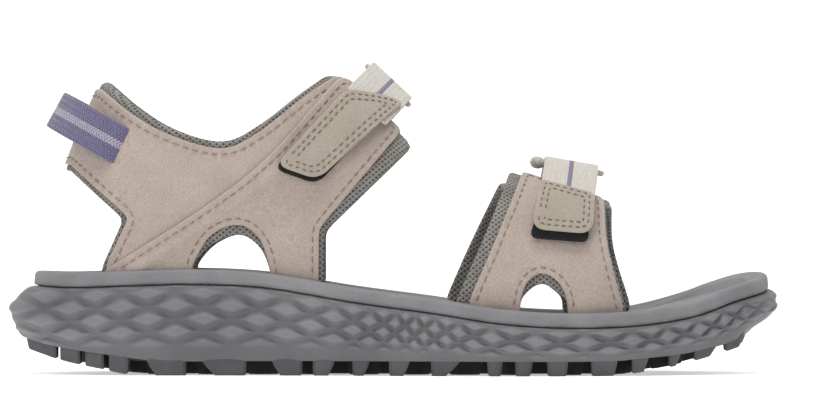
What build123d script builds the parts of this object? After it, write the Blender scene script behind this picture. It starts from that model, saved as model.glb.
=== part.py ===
from build123d import *
from math import cos, radians, sin
import os

os.makedirs("parts", exist_ok=True)

# A right sport sandal. +X is the toe, +Y the inner side of the foot, +Z up. All sizes in millimetres.

# Sole
sole_length = 266.0
ball_width = 98.0
heel_width = 74.5
waist_width = 74.5
heel_offset = 1.75           # the heel's middle stands this far to the inner side
heel_height = 36.6           # floor to rim at the heel
ball_height = 21.6           # floor to rim under the ball of the foot
toe_height = 32.0            # floor to rim at the toe
rim_thickness = 3.8          # height of the footbed's edge above its joint line
footbed_inset = 2.5          # the footbed's edge stands back from the midsole
rim_width = 6.0              # from the midsole's outline to the dish
dish_depth = 2.0
outsole_thickness = 6.5
lug_height = 4.6
lug_gap = 4.2
lug_pitch = 17.5
rib_gap = 4.0

# Upper
lining_thickness = 3.2
suede_thickness = 1.5
layer_gap = 0.15
slot_clearance = 0.3
root_depth = 8.0             # how far an upper goes down below the rim
rim_wall = 3.0               # sole left outside an upper

# Closures
webbing_thickness = 1.2
patch_thickness = 1.1
tab_thickness = 1.5
free_gap = 0.3               # between pieces that move apart
instep_webbing_width = 18.5
instep_tab_width = 20.5
instep_tab_length = 42.0
forefoot_webbing_width = 19.0
forefoot_tab_width = 21.5
forefoot_tab_length = 18.0
ring_bar = 2.4               # thickness of a ring's bars
ring_window = 9.0            # length of the opening between a ring's two bars
ring_side_gap = 0.6          # room between webbing and ring at each edge
hook_margin = 3.0            # hook patch seen past the tab's free end

# Heel pull
pull_width = 13.5
pull_thickness = 1.4
pull_standoff = 9.0
pull_tilt = 28.8             # rise of the loop's plane towards the back, degrees
pull_start = 3.0             # the loop's free part starts this far behind its seams
pull_seam_x = -98.2
pull_seam_rise = 43.3        # above the heel's rim

# Heights of the upper above the rim it rises from
counter_rise = 40.4          # where the heel counter stands furthest back
instep_rise_up = 66.1
forefoot_rise_up = 52.8

half_length = sole_length / 2
half_ball = ball_width / 2
upper_thickness = lining_thickness + layer_gap + suede_thickness
grade = sole_length / 266.0
far = 300.0
arch_depth = 150.0


def graded(points):
    """Side or plan points of the sample size, stretched to this sole's length."""
    return [(x * grade, z) for x, z in points]


def sole_plan(inset):
    """The sole's outline seen from above, drawn in by an inset, as a sketch on the floor."""
    heel = heel_width / 2
    waist = waist_width / 2
    points = [
        (-half_length, heel_offset),
        (-0.345 * sole_length, heel_offset + heel),
        (-0.09 * sole_length, waist),
        (0.215 * sole_length, half_ball),
        (0.42 * sole_length, 0.76 * half_ball),
        (half_length, 0.17 * half_ball),
        (0.425 * sole_length, -0.50 * half_ball),
        (0.155 * sole_length, -half_ball),
        (-0.12 * sole_length, -waist),
        (-0.345 * sole_length, heel_offset - heel),
    ]
    headings = [(0, 1), (1, 0.02), (1, 0.03), (1, 0), (0.77, -0.64), (0, -1), (-0.8, -0.6), (-1, 0),
                (-1, 0.08), (-1, 0.03)]
    inner = []
    for (x, y), (ahead, across) in zip(points, headings):
        length = (ahead ** 2 + across ** 2) ** 0.5
        inner.append((x + inset * across / length, y - inset * ahead / length))
    with BuildSketch(Plane.XY) as plan:
        with BuildLine():
            Spline(*inner, tangents=headings, periodic=True)
        make_face()
    return plan.sketch


waist_height = (heel_height + ball_height) / 2 + 2.4
rim_line = graded([
    (-134.5, heel_height - 0.7), (-115, heel_height - 1.2), (-92, heel_height - 0.5), (-70, heel_height),
    (-45, heel_height - 1.3), (-15, waist_height - 1.2), (12, ball_height + 5.0), (36, ball_height + 1.4),
    (60, ball_height), (84, ball_height + 0.7), (104, ball_height + 3.6), (120, toe_height - 1.6),
    (134.5, toe_height + 2.0),
])
floor_line = graded([(-134.5, 12.0), (-128, 8.6), (-116, 5.0), (-102, 2.2), (-86, 0.0)])
toe_spring = graded([(70, 0.0), (84, 1.3), (96, 3.4), (108, 6.8), (120, 12.0), (128, 18.0), (134.5, 26.0)])


def lowered(points, drop):
    return [(x, z - drop) for x, z in points]


def side_band(top_line, bottom_line):
    """A closed side profile between two lines that both run from heel to toe."""
    with BuildSketch(Plane.XZ) as band:
        with BuildLine():
            upper = Spline(*top_line)
            lower = Spline(*bottom_line)
            Line(upper @ 0, lower @ 0)
            Line(upper @ 1, lower @ 1)
        make_face()
    return band.sketch


joint_line = lowered(rim_line, rim_thickness)
outsole_line = graded([
    (-134.5, 17.0), (-120, outsole_thickness + 5.0), (-100, outsole_thickness + 2.2), (-70, outsole_thickness),
    (60, outsole_thickness), (84, outsole_thickness + 1.6), (104, outsole_thickness + 6.6),
    (120, outsole_thickness + 13.4), (134.5, outsole_thickness + 21.5),
])


def sole_layer(top_line, bottom_line, inset):
    with BuildPart() as layer:
        extrude(side_band(top_line, bottom_line), amount=ball_width, both=True)
        extrude(sole_plan(inset), amount=heel_height * 3, mode=Mode.INTERSECT)
    return layer.part


# The foot space. Two straight forms make it: an upright one round the heel, leaning forward with
# height, and an arch over the instep. Each is drawn a distance out from the foot, so that layers nest.
ankle_half = (waist_width / 2) - rim_wall - upper_thickness - slot_clearance - 1.9
ankle_offset = heel_offset
heel_lean = 0.4167
heel_round = 34.0
heel_back = -115.0 * grade   # outer face of the heel counter at counter_height
counter_height = heel_height + counter_rise
heel_centre = heel_back + upper_thickness + heel_round - heel_lean * counter_height
instep_top = (-1.2 * grade, ankle_offset, heel_height + instep_rise_up)
instep_across = (0.73, 0, -0.683)
instep_rise = 24.4
forefoot_half = half_ball - rim_wall - upper_thickness - slot_clearance - 4.6
forefoot_top = (61.2 * grade, 0.5, ball_height + forefoot_rise_up)
forefoot_across = (0.985, 0, -0.17)
forefoot_rise = 30.0
stack = 2 * webbing_thickness + 2 * free_gap + ring_bar + upper_thickness + layer_gap
instep_plane = Plane(origin=instep_top, x_dir=(0, 1, 0), z_dir=instep_across)
forefoot_plane = Plane(origin=forefoot_top, x_dir=(0, 1, 0), z_dir=forefoot_across)


def draw_arch(half, rise, out, mode=Mode.ADD):
    """The foot's arch in a strap's plane: an ellipse's upper half on straight sides."""
    centre = -stack - rise
    with Locations((0, centre)):
        Ellipse(half + out, rise + out, mode=mode)
    with Locations((0, centre - arch_depth / 2)):
        Rectangle(2 * (half + out), arch_depth, mode=mode)


def draw_shell(half, rise, near, thickness, window):
    """The arch's shell at a distance out from the foot, inside a window (y0, u0, y1, u1)."""
    y0, u0, y1, u1 = window
    draw_arch(half, rise, near + thickness)
    draw_arch(half, rise, near, mode=Mode.SUBTRACT)
    with Locations(((y0 + y1) / 2, (u0 + u1) / 2)):
        Rectangle(abs(y1 - y0), abs(u1 - u0), mode=Mode.INTERSECT)


def rear_form(out):
    """Solid form of the ankle and instep, a distance out from the foot."""
    half = ankle_half + out
    with BuildPart() as form:
        with BuildSketch(Plane.XY):
            with Locations((heel_centre, ankle_offset)):
                Ellipse(heel_round + out, half)
            with Locations((heel_centre + far / 2, ankle_offset)):
                Rectangle(far, 2 * half)
        extrude(amount=150, dir=Vector(heel_lean, 0, 1).normalized())
        with BuildSketch(instep_plane):
            draw_arch(ankle_half, instep_rise, out)
        extrude(amount=far, both=True, mode=Mode.INTERSECT)
    return form.part


def forefoot_form(out):
    with BuildPart() as form:
        with BuildSketch(forefoot_plane):
            draw_arch(forefoot_half, forefoot_rise, out)
        extrude(amount=90 * grade, both=True)
    return form.part


def layer(form, near, thickness):
    """Shell of one material between two distances out from the foot."""
    with BuildPart() as shell:
        add(form(near + thickness))
        add(form(near), mode=Mode.SUBTRACT)
    return shell.part


# Side outlines of the upper's pieces, from the heel round to the toe side
rear_lift = heel_height - 36.6
forefoot_lift = ball_height - 21.6
rear_root = 35.6 - root_depth
forefoot_root = 22.4 - root_depth


def lifted(points, lift):
    """Side points drawn for the sample sole, moved up with the rim under them."""
    return [(x, z + lift) for x, z in points]


def side_shape(runs, lift):
    """Closed side outline from runs of points: 'curve' runs are smooth, 'line' runs are straight."""
    with BuildSketch(Plane.XZ) as shape:
        with BuildLine():
            for kind, points in runs:
                if kind == "curve":
                    Spline(*graded(lifted(points, lift)))
                else:
                    Polyline(*graded(lifted(points, lift)))
        make_face()
    return shape.sketch


def rear_outline(roll, arch_roll, front_roll):
    """Outline of the rear upper; the lining rolls past the suede at the collar, arch and front."""
    back_top = (-135, 99.3 + roll)
    return [
        ("line", [back_top, (-135, 73.4), (-113.5, 73.0), (-92.5, 54.5), (-100.5, 38.0), (-100.5, rear_root),
                  (-70.5, rear_root), (-70.5, 38.0)]),
        ("curve", [(-70.5, 38.0), (-64.0, 48.5 - arch_roll), (-54.0, 52.0 - arch_roll),
                   (-46.8, 46.5 - arch_roll * 0.7), (-43.5, 35.5)]),
        ("line", [(-43.5, 35.5), (-43.5, rear_root), (-26.8 + front_roll * 0.4, rear_root),
                  (-26.8 + front_roll * 0.4, 50.5 - front_roll * 0.2), (1.9 + front_roll, 84.8 - front_roll),
                  (-17.5, 102.0 + roll), (-21.3 - roll, 103.8 + roll * 0.4)]),
        ("curve", [(-21.3 - roll, 103.8 + roll * 0.4), (-33.4, 95.1 + roll), (-47.2, 84.3 + roll),
                   (-60.4, 78.4 + roll), (-78.8, 83.3 + roll), (-92.3, 90.9 + roll), (-103.0, 99.3 + roll)]),
        ("line", [(-103.0, 99.3 + roll), back_top]),
    ]


def forefoot_outline(back_roll, arch_roll, front_roll, top_drop):
    """Outline of the forefoot upper; the lining rolls past the suede at the back and the arch."""
    return [
        ("curve", [(25.0 - back_roll, 26.0), (34.0 - back_roll, 46.7), (43.8 - back_roll, 70.2 - top_drop)]),
        ("line", [(43.8 - back_roll, 70.2 - top_drop), (71.8 + front_roll, 61.2 - top_drop * 0.3),
                  (78.3 + front_roll, 27.0), (78.3 + front_roll, forefoot_root), (58.8, forefoot_root),
                  (58.8, 26.0)]),
        ("curve", [(58.8, 26.0), (56.0, 32.0 - arch_roll), (50.1, 35.6 - arch_roll),
                   (45.0, 32.5 - arch_roll), (42.6, 26.0)]),
        ("line", [(42.6, 26.0), (42.6, forefoot_root), (25.0 - back_roll, forefoot_root),
                  (25.0 - back_roll, 26.0)]),
    ]


def side_block(runs, lift):
    """A side outline as a block right across the foot."""
    with BuildPart() as block:
        extrude(side_shape(runs, lift), amount=ball_width, both=True)
    return block.part


def half_space(side, offset_y, start=0.0):
    """Everything on one side of the foot: side is -1 for the outer side, 1 for the inner side."""
    with BuildPart(Plane((0, offset_y + side * (far / 2 + start), 0))) as space:
        Box(3 * far, far, 3 * far)
    return space.part


def cut_piece(shell, block, space, *others):
    with BuildPart() as piece:
        add(shell)
        add(block, mode=Mode.INTERSECT)
        add(space, mode=Mode.INTERSECT)
        for other in others:
            add(other, mode=Mode.INTERSECT)
    return piece.part


def wedge(points):
    """Block right across the foot whose side view is a polygon."""
    with BuildPart() as block:
        with BuildSketch(Plane.XZ):
            with BuildLine():
                Polyline(*graded(lifted(points, rear_lift)), close=True)
            make_face()
        extrude(amount=ball_width, both=True)
    return block.part


pieces = {}
seam = layer_gap / 2
side_names = {"lateral": -1, "medial": 1}
mesh_thickness = 1.0
foam_thickness = lining_thickness - mesh_thickness - layer_gap
suede_start = lining_thickness + layer_gap
rear_suede = side_block(rear_outline(0, 0, 0), rear_lift)
rear_lining = side_block(rear_outline(2.4, 3.4, 4.6), rear_lift)
rear_foam = side_block(rear_outline(-1.5, -1.5, -1.5), rear_lift)
counter_zone = wedge([(-140, 110), (-74.6, 110), (-109.4, 66), (-140, 66)])
behind_seam = wedge([(-140, 10), (-101.5, 10), (-101.5, 36.0), (-66.0, 58.5), (-44.0, 76.0), (-20.0, 100.8),
                     (-10, 112), (-73.2, 112), (-108.0, 66), (-140, 66)])
before_seam = wedge([(-101.3, 10), (-101.3, 35.9), (-65.9, 58.3), (-43.9, 75.8), (-19.8, 100.6), (-9, 111.8),
                     (60, 112), (60, 10)])

mesh_shell = layer(rear_form, 0, mesh_thickness)
foam_shell = layer(rear_form, mesh_thickness + layer_gap, foam_thickness)
suede_shell = layer(rear_form, suede_start, suede_thickness)
for name, side in side_names.items():
    space = half_space(side, ankle_offset, seam)
    pieces["rear_lining_" + name] = cut_piece(mesh_shell, rear_lining, space)
    pieces["collar_foam_" + name] = cut_piece(foam_shell, rear_foam, space)
    pieces["heel_panel_" + name] = cut_piece(suede_shell, rear_suede, space, behind_seam)
    pieces["instep_panel_" + name] = cut_piece(suede_shell, rear_suede, space, before_seam)
with BuildPart() as heel_counter:
    add(suede_shell)
    add(rear_suede, mode=Mode.INTERSECT)
    add(counter_zone, mode=Mode.INTERSECT)
pieces["heel_counter"] = heel_counter.part

fore_mesh = layer(forefoot_form, 0, mesh_thickness)
fore_foam = layer(forefoot_form, mesh_thickness + layer_gap, foam_thickness)
fore_suede = layer(forefoot_form, suede_start, suede_thickness)
for name, side in side_names.items():
    space = half_space(side, forefoot_top[1], seam)
    inner = side > 0
    drop = 3.4 if inner else 0
    front = 3.6 if inner else 0
    back = 3.0 if inner else 0
    pieces["forefoot_lining_" + name] = cut_piece(
        fore_mesh, side_block(forefoot_outline(4.4 + back, 3.6, 0.8 + front, drop - 1.4), forefoot_lift), space)
    pieces["forefoot_foam_" + name] = cut_piece(
        fore_foam, side_block(forefoot_outline(-1.5 + back, -1.5, front - 1.5, drop + 1.5), forefoot_lift), space)
    pieces["forefoot_panel_" + name] = cut_piece(
        fore_suede, side_block(forefoot_outline(back, 0, front, drop), forefoot_lift), space)


# Closures: every piece is a band across the strap's plane, drawn in that plane and given its width
def layer_band(plane, half, rise, near, thickness, window, width):
    """Band that follows the arch at a distance out from the foot, inside a window (y0, u0, y1, u1)."""
    with BuildPart() as solid:
        with BuildSketch(plane):
            draw_shell(half, rise, near, thickness, window)
        extrude(amount=width / 2, both=True)
    return solid.part


def ellipse_point(half, rise, out, y):
    """Point of the arch at a distance out, at a place y across the foot."""
    u = -stack - rise + (rise + out) * (1 - (y / (half + out)) ** 2) ** 0.5
    return (y, u)


def ellipse_slope(half, rise, out, y):
    """Height gained for each millimetre across, along the arch at a distance out."""
    return -(rise + out) * y / (half + out) ** 2 / (1 - (y / (half + out)) ** 2) ** 0.5


def closure(name, plane, half, rise, webbing_width, tab_width, tab_low, tab_high, patch_low, panel_end):
    """All the pieces of one strap closure: name, plane, arch, widths and heights along the strap."""
    bar_y = -2.0
    bar_u = -(webbing_thickness + free_gap + ring_bar / 2)
    far_y = bar_y + ring_window + ring_bar
    turn_in = ring_bar / 2 + free_gap
    turn_out = turn_in + webbing_thickness
    base = upper_thickness + layer_gap
    upper_run = base + webbing_thickness + free_gap
    tab_near = upper_run + webbing_thickness + layer_gap
    join_y = -half * 0.62
    split_u = (tab_low + tab_high) / 2 + 2

    pieces[name + "_loop_patch"] = layer_band(plane, half, rise, base, patch_thickness,
                                              (-far, patch_low, 0, split_u), webbing_width)
    pieces[name + "_strap_root"] = layer_band(plane, half, rise, base, webbing_thickness,
                                              (-far, split_u + 0.5, bar_y - free_gap, far), webbing_width)

    with BuildPart() as fold:
        with BuildSketch(plane):
            with Locations((bar_y, bar_u)):
                Circle(turn_out)
                Circle(turn_in, mode=Mode.SUBTRACT)
            with Locations((bar_y + turn_out, bar_u)):
                Rectangle(2 * turn_out, 4 * turn_out, mode=Mode.INTERSECT)
        extrude(amount=webbing_width / 2, both=True)
    pieces[name + "_strap_fold"] = fold.part

    run_out = upper_run + webbing_thickness
    start = (bar_y - free_gap, -webbing_thickness)
    start_out = (bar_y - free_gap, 0)
    join = ellipse_point(half, rise, upper_run, join_y)
    join_out = ellipse_point(half, rise, run_out, join_y)
    slope = ellipse_slope(half, rise, run_out, join_y)
    with BuildPart() as webbing:
        with BuildSketch(plane):
            draw_shell(half, rise, upper_run, webbing_thickness, (-far, split_u + 0.5, join_y, far))
            with BuildLine():
                Line(start, start_out)
                Spline(start_out, join_out, tangents=[(-1, 0), (-1, -slope)])
                Line(join_out, join)
                Spline(join, start, tangents=[(1, slope), (1, 0)])
            make_face()
        extrude(amount=webbing_width / 2, both=True)
    pieces[name + "_strap_webbing"] = webbing.part
    pieces[name + "_hook_patch"] = layer_band(plane, half, rise, upper_run, patch_thickness,
                                              (-far, tab_low - hook_margin, 0, split_u), webbing_width - 1)
    pieces[name + "_tab"] = layer_band(plane, half, rise, tab_near, tab_thickness,
                                       (-far, tab_low, join_y, tab_high), tab_width)

    outer_width = webbing_width + 2 * (ring_side_gap + ring_bar)
    with BuildPart() as ring:
        with BuildSketch(plane.offset(-outer_width / 2)):
            with Locations((bar_y, bar_u), (far_y, bar_u)):
                Circle(ring_bar / 2)
        extrude(amount=outer_width)
        for shift in (-outer_width / 2, outer_width / 2 - ring_bar):
            with BuildSketch(plane.offset(shift)):
                with Locations(((bar_y + far_y) / 2, bar_u)):
                    Rectangle(far_y - bar_y, ring_bar)
            extrude(amount=ring_bar)
    pieces[name + "_ring"] = ring.part

    keep_y = -join_y
    low_in = ellipse_point(half, rise, base, keep_y)
    low_out = ellipse_point(half, rise, base + webbing_thickness, keep_y)
    high_out = ellipse_point(half, rise, base + 2 * webbing_thickness, keep_y)
    with BuildPart() as keeper:
        with BuildSketch(plane):
            draw_shell(half, rise, base, 2 * webbing_thickness, (keep_y, panel_end - 12, far, far))
            with BuildLine():
                Line((far_y, bar_u + turn_in), (far_y, bar_u + turn_out))
                Spline((far_y, bar_u + turn_out), high_out, tangents=[(1, 0), (1, slope * -1)])
                Line(high_out, low_out)
                Spline(low_out, (far_y, bar_u + turn_in), tangents=[(-1, slope), (-1, 0)])
            make_face()
            with BuildLine():
                Line((far_y, bar_u - turn_out), (far_y, bar_u - turn_in))
                Spline((far_y, bar_u - turn_in), low_out, tangents=[(1, -0.1), (1, slope * -1)])
                Line(low_out, low_in)
                Spline(low_in, (far_y, bar_u - turn_out), tangents=[(-1, slope), (-1, 0.1)])
            make_face()
            with Locations((far_y, bar_u)):
                Circle(turn_in, mode=Mode.SUBTRACT)
        extrude(amount=webbing_width / 2, both=True)
    with BuildPart() as keeper_bend:
        with BuildSketch(plane):
            with Locations((far_y, bar_u)):
                Circle(turn_out)
                Circle(turn_in, mode=Mode.SUBTRACT)
            with Locations((far_y - turn_out, bar_u)):
                Rectangle(2 * turn_out, 4 * turn_out, mode=Mode.INTERSECT)
        extrude(amount=webbing_width / 2, both=True)
    with BuildPart() as ring_keeper:
        add(keeper.part)
        add(keeper_bend.part)
    pieces[name + "_ring_keeper"] = ring_keeper.part


closure("instep", instep_plane, ankle_half, instep_rise, instep_webbing_width, instep_tab_width,
        -8.0 - instep_tab_length + 4, -8.0, -45.0, -12.5)
closure("forefoot", forefoot_plane, forefoot_half, forefoot_rise, forefoot_webbing_width, forefoot_tab_width,
        -12.0 - forefoot_tab_length, -12.0, -31.0, -10.0)

# Heel pull: a band in a plane that rises to the back from the counter's two side seams, standing off it
pull_back_rise = sin(radians(pull_tilt))
pull_back_run = cos(radians(pull_tilt))
pull_seam_z = heel_height + pull_seam_rise
pull_plane = Plane(origin=(pull_seam_x * grade, ankle_offset, pull_seam_z), x_dir=(0, 1, 0),
                   z_dir=(pull_back_rise, 0, pull_back_run))
pull_rate = pull_back_run + heel_lean * pull_back_rise
seam_reach = heel_centre + heel_lean * pull_seam_z - pull_seam_x * grade
pull_centre = -seam_reach / pull_rate
counter_back = (heel_round + upper_thickness) / pull_rate
pull_back = counter_back + pull_standoff
seam_half = (ankle_half + upper_thickness) * (1 - (pull_centre / counter_back) ** 2) ** 0.5
pull_side = (seam_half + 5 * free_gap) / (1 - (pull_centre / pull_back) ** 2) ** 0.5
with BuildPart() as heel_pull_loop:
    with BuildSketch(pull_plane):
        with Locations((0, pull_centre)):
            Ellipse(pull_side + pull_thickness, pull_back + pull_thickness)
            Ellipse(pull_side, pull_back, mode=Mode.SUBTRACT)
        with Locations((0, far / 2 + pull_start)):
            Rectangle(far, far, mode=Mode.INTERSECT)
    extrude(amount=pull_width / 2, both=True)
pieces["heel_pull_loop"] = heel_pull_loop.part


# Sole, with slots for the roots of the uppers
def leg_blocks(spans, floor_z):
    with BuildPart() as legs:
        for start, end in spans:
            low = start * grade - slot_clearance
            high = end * grade + slot_clearance
            with Locations(((low + high) / 2, 0, floor_z - slot_clearance + 20)):
                Box(high - low, 2 * ball_width, 40)
    return legs.part


def slots(form, spans, floor_z):
    legs = leg_blocks(spans, floor_z)
    with BuildPart() as cut:
        add(form(upper_thickness + slot_clearance))
        add(form(-slot_clearance), mode=Mode.SUBTRACT)
        add(legs, mode=Mode.INTERSECT)
    return cut.part


rear_slots = slots(rear_form, [(-100.5, -70.5), (-43.5, -25.0)], rear_root + rear_lift)
fore_slots = slots(forefoot_form, [(17.6, 42.6), (58.8, 82.7)], forefoot_root + forefoot_lift)
dish = sole_layer(lowered(rim_line, -30), lowered(rim_line, dish_depth), rim_width)

with BuildPart() as footbed:
    add(sole_layer(rim_line, joint_line, footbed_inset))
    add(dish, mode=Mode.SUBTRACT)
    add(rear_slots, mode=Mode.SUBTRACT)
    add(fore_slots, mode=Mode.SUBTRACT)
pieces["footbed"] = footbed.part

with BuildPart() as midsole:
    add(sole_layer(lowered(joint_line, layer_gap), outsole_line, 0))
    add(rear_slots, mode=Mode.SUBTRACT)
    add(fore_slots, mode=Mode.SUBTRACT)
pieces["midsole"] = midsole.part

tread_line = floor_line + toe_spring
with BuildPart() as channels:
    with GridLocations(lug_pitch, 1, int(sole_length * 0.84 / lug_pitch), 1):
        Box(lug_gap, 2 * ball_width, far)
    with GridLocations(1, ball_width * 0.3, 1, 2):
        Box(sole_length, rib_gap, far)
with BuildPart() as grooves:
    add(sole_layer(lowered(tread_line, -lug_height), lowered(tread_line, 30), 0))
    add(channels.part, mode=Mode.INTERSECT)
with BuildPart() as outsole:
    add(sole_layer(lowered(outsole_line, layer_gap), tread_line, 0))
    add(grooves.part, mode=Mode.SUBTRACT)
pieces["outsole"] = outsole.part

for name, piece in pieces.items():
    piece.label = name
    export_step(piece, "parts/" + name + ".step")
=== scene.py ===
"""A right sport sandal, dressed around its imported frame. Lengths inside are in millimetres of the frame:
+X is the toe, +Y the inner side of the foot, +Z up. Meshes are written in metres."""
import math

import bmesh
import bpy
import mathutils
import numpy as np
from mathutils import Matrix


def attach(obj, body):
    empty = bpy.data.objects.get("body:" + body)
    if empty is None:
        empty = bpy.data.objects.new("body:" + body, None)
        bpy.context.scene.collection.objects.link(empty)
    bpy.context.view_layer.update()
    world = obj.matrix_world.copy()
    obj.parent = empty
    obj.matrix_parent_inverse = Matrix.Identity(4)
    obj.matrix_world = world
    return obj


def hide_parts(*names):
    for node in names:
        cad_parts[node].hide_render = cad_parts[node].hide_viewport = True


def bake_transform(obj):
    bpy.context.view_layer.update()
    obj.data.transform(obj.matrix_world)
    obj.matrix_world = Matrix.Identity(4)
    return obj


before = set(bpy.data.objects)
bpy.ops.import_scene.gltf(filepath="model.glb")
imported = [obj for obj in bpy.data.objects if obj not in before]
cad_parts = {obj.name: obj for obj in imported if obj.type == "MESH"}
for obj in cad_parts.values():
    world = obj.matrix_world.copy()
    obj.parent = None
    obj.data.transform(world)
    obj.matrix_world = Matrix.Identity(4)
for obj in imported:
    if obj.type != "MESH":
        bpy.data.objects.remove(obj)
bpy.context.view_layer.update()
MM = 0.001
ROOT = "sole_and_upper"


# ---------------------------------------------------------------- small numpy helpers
def smoothstep(low, high, value):
    """0 below low, 1 above high, and the cubic 3t^2 - 2t^3 between."""
    t = np.clip((np.asarray(value, float) - low) / (high - low), 0.0, 1.0)
    return t * t * (3.0 - 2.0 * t)


def unit(vectors):
    """Vectors divided by their lengths."""
    return vectors / np.maximum(np.linalg.norm(vectors, axis=-1, keepdims=True), 1e-9)


def catmull(points, count):
    """Smooth open curve through points: Catmull-Rom cubics, sampled evenly along its length."""
    points = np.asarray(points, float)
    first, last = 2 * points[0] - points[1], 2 * points[-1] - points[-2]
    p = np.vstack([first, points, last])
    t = np.linspace(0, 1, 24, endpoint=False)[None, :, None]
    a, b, c, d = p[:-3, None], p[1:-2, None], p[2:-1, None], p[3:, None]
    curve = 0.5 * (2 * b + (c - a) * t + (2 * a - 5 * b + 4 * c - d) * t ** 2
                   + (3 * b - a - 3 * c + d) * t ** 3)
    return resample(np.vstack([curve.reshape(-1, points.shape[1]), points[-1:]]), count)


def resample(path, count):
    """The same path at count points evenly spaced along its length."""
    steps = np.linalg.norm(np.diff(path, axis=0), axis=1)
    along = np.concatenate([[0], np.cumsum(steps)])
    wanted = np.linspace(0, along[-1], count)
    return np.stack([np.interp(wanted, along, path[:, k]) for k in range(path.shape[1])], axis=1)


def rounded(corners, samples=9):
    """Closed outline from corners (x, z, cut): each corner is a quadratic Bezier that starts cut before
    it."""
    points = np.array([c[:2] for c in corners], float)
    cuts = np.array([c[2] for c in corners], float)[:, None]
    before, after = np.roll(points, 1, axis=0) - points, np.roll(points, -1, axis=0) - points
    len_b = np.linalg.norm(before, axis=1, keepdims=True)
    len_a = np.linalg.norm(after, axis=1, keepdims=True)
    start = points + before / len_b * np.minimum(cuts, len_b * 0.49)
    end = points + after / len_a * np.minimum(cuts, len_a * 0.49)
    t = np.linspace(0, 1, samples)[None, :, None]
    curve = start[:, None] * (1 - t) ** 2 + 2 * points[:, None] * t * (1 - t) + end[:, None] * t ** 2
    return curve.reshape(-1, 2)


def signed_distance(points, outline):
    """Distance of points from a closed outline, positive inside, and the nearest point of the outline."""
    parts = [distance_block(part, outline) for part in np.array_split(points, len(points) // 3000 + 1)]
    return np.concatenate([p[0] for p in parts]), np.concatenate([p[1] for p in parts])


def distance_block(points, outline):
    """Signed distance for a few thousand points at once. A point is inside when a ray from it crosses the
    outline an odd number of times."""
    a, b = outline, np.roll(outline, -1, axis=0)
    ab = b - a
    length = np.maximum((ab ** 2).sum(1), 1e-12)
    rel = points[:, None, :] - a[None]
    t = np.clip((rel * ab[None]).sum(2) / length[None], 0, 1)
    near = a[None] + t[..., None] * ab[None]
    gap = ((points[:, None] - near) ** 2).sum(2)
    pick = gap.argmin(1)
    rows = np.arange(len(points))
    crosses = (a[None, :, 1] > points[:, None, 1]) != (b[None, :, 1] > points[:, None, 1])
    rise = np.where(np.abs(ab[:, 1]) < 1e-12, 1e-12, ab[:, 1])
    x_at = a[None, :, 0] + (points[:, None, 1] - a[None, :, 1]) / rise[None] * ab[None, :, 0]
    inside = (crosses & (points[:, None, 0] < x_at)).sum(1) % 2 == 1
    return np.where(inside, 1, -1) * np.sqrt(gap[rows, pick]), near[rows, pick]


# ---------------------------------------------------------------- meshes and pieces
def make_piece(name, verts, faces, body, slot, material, uv=None, hides=(), smooth=True):
    """A mesh object from millimetre points and face arrays, riding on a body and standing for CAD nodes."""
    mesh = bpy.data.meshes.new(name)
    quads = [f.tolist() for f in faces]
    mesh.from_pydata((np.asarray(verts) * MM).tolist(), [], [f for group in quads for f in group])
    if uv is not None:
        layer = mesh.uv_layers.new(name="Pattern")
        index = np.zeros(len(mesh.loops), np.int32)
        mesh.loops.foreach_get("vertex_index", index)
        layer.data.foreach_set("uv", np.asarray(uv, np.float32)[index].ravel())
    mesh.polygons.foreach_set("use_smooth", np.full(len(mesh.polygons), smooth))
    mesh.materials.append(material)
    mesh.update()
    piece = bpy.data.objects.new(name, mesh)
    bpy.context.scene.collection.objects.link(piece)
    if hides:
        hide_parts(*hides)
    if body:
        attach(piece, body)
    return piece


def grid_faces(rows, cols, wrap=False, flip=False):
    """Quads of a rows x cols grid of points, closed round in the columns when wrap is set."""
    r = np.arange(rows - 1)[:, None]
    c = np.arange(cols if wrap else cols - 1)[None]
    n = (c + 1) % cols
    quad = np.stack([r * cols + c, r * cols + n, (r + 1) * cols + n, (r + 1) * cols + c], axis=-1)
    quad = quad.reshape(-1, 4)
    return quad[:, ::-1] if flip else quad


EDGE_RINGS = 4
EDGE_ROUND = 1.4


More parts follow.
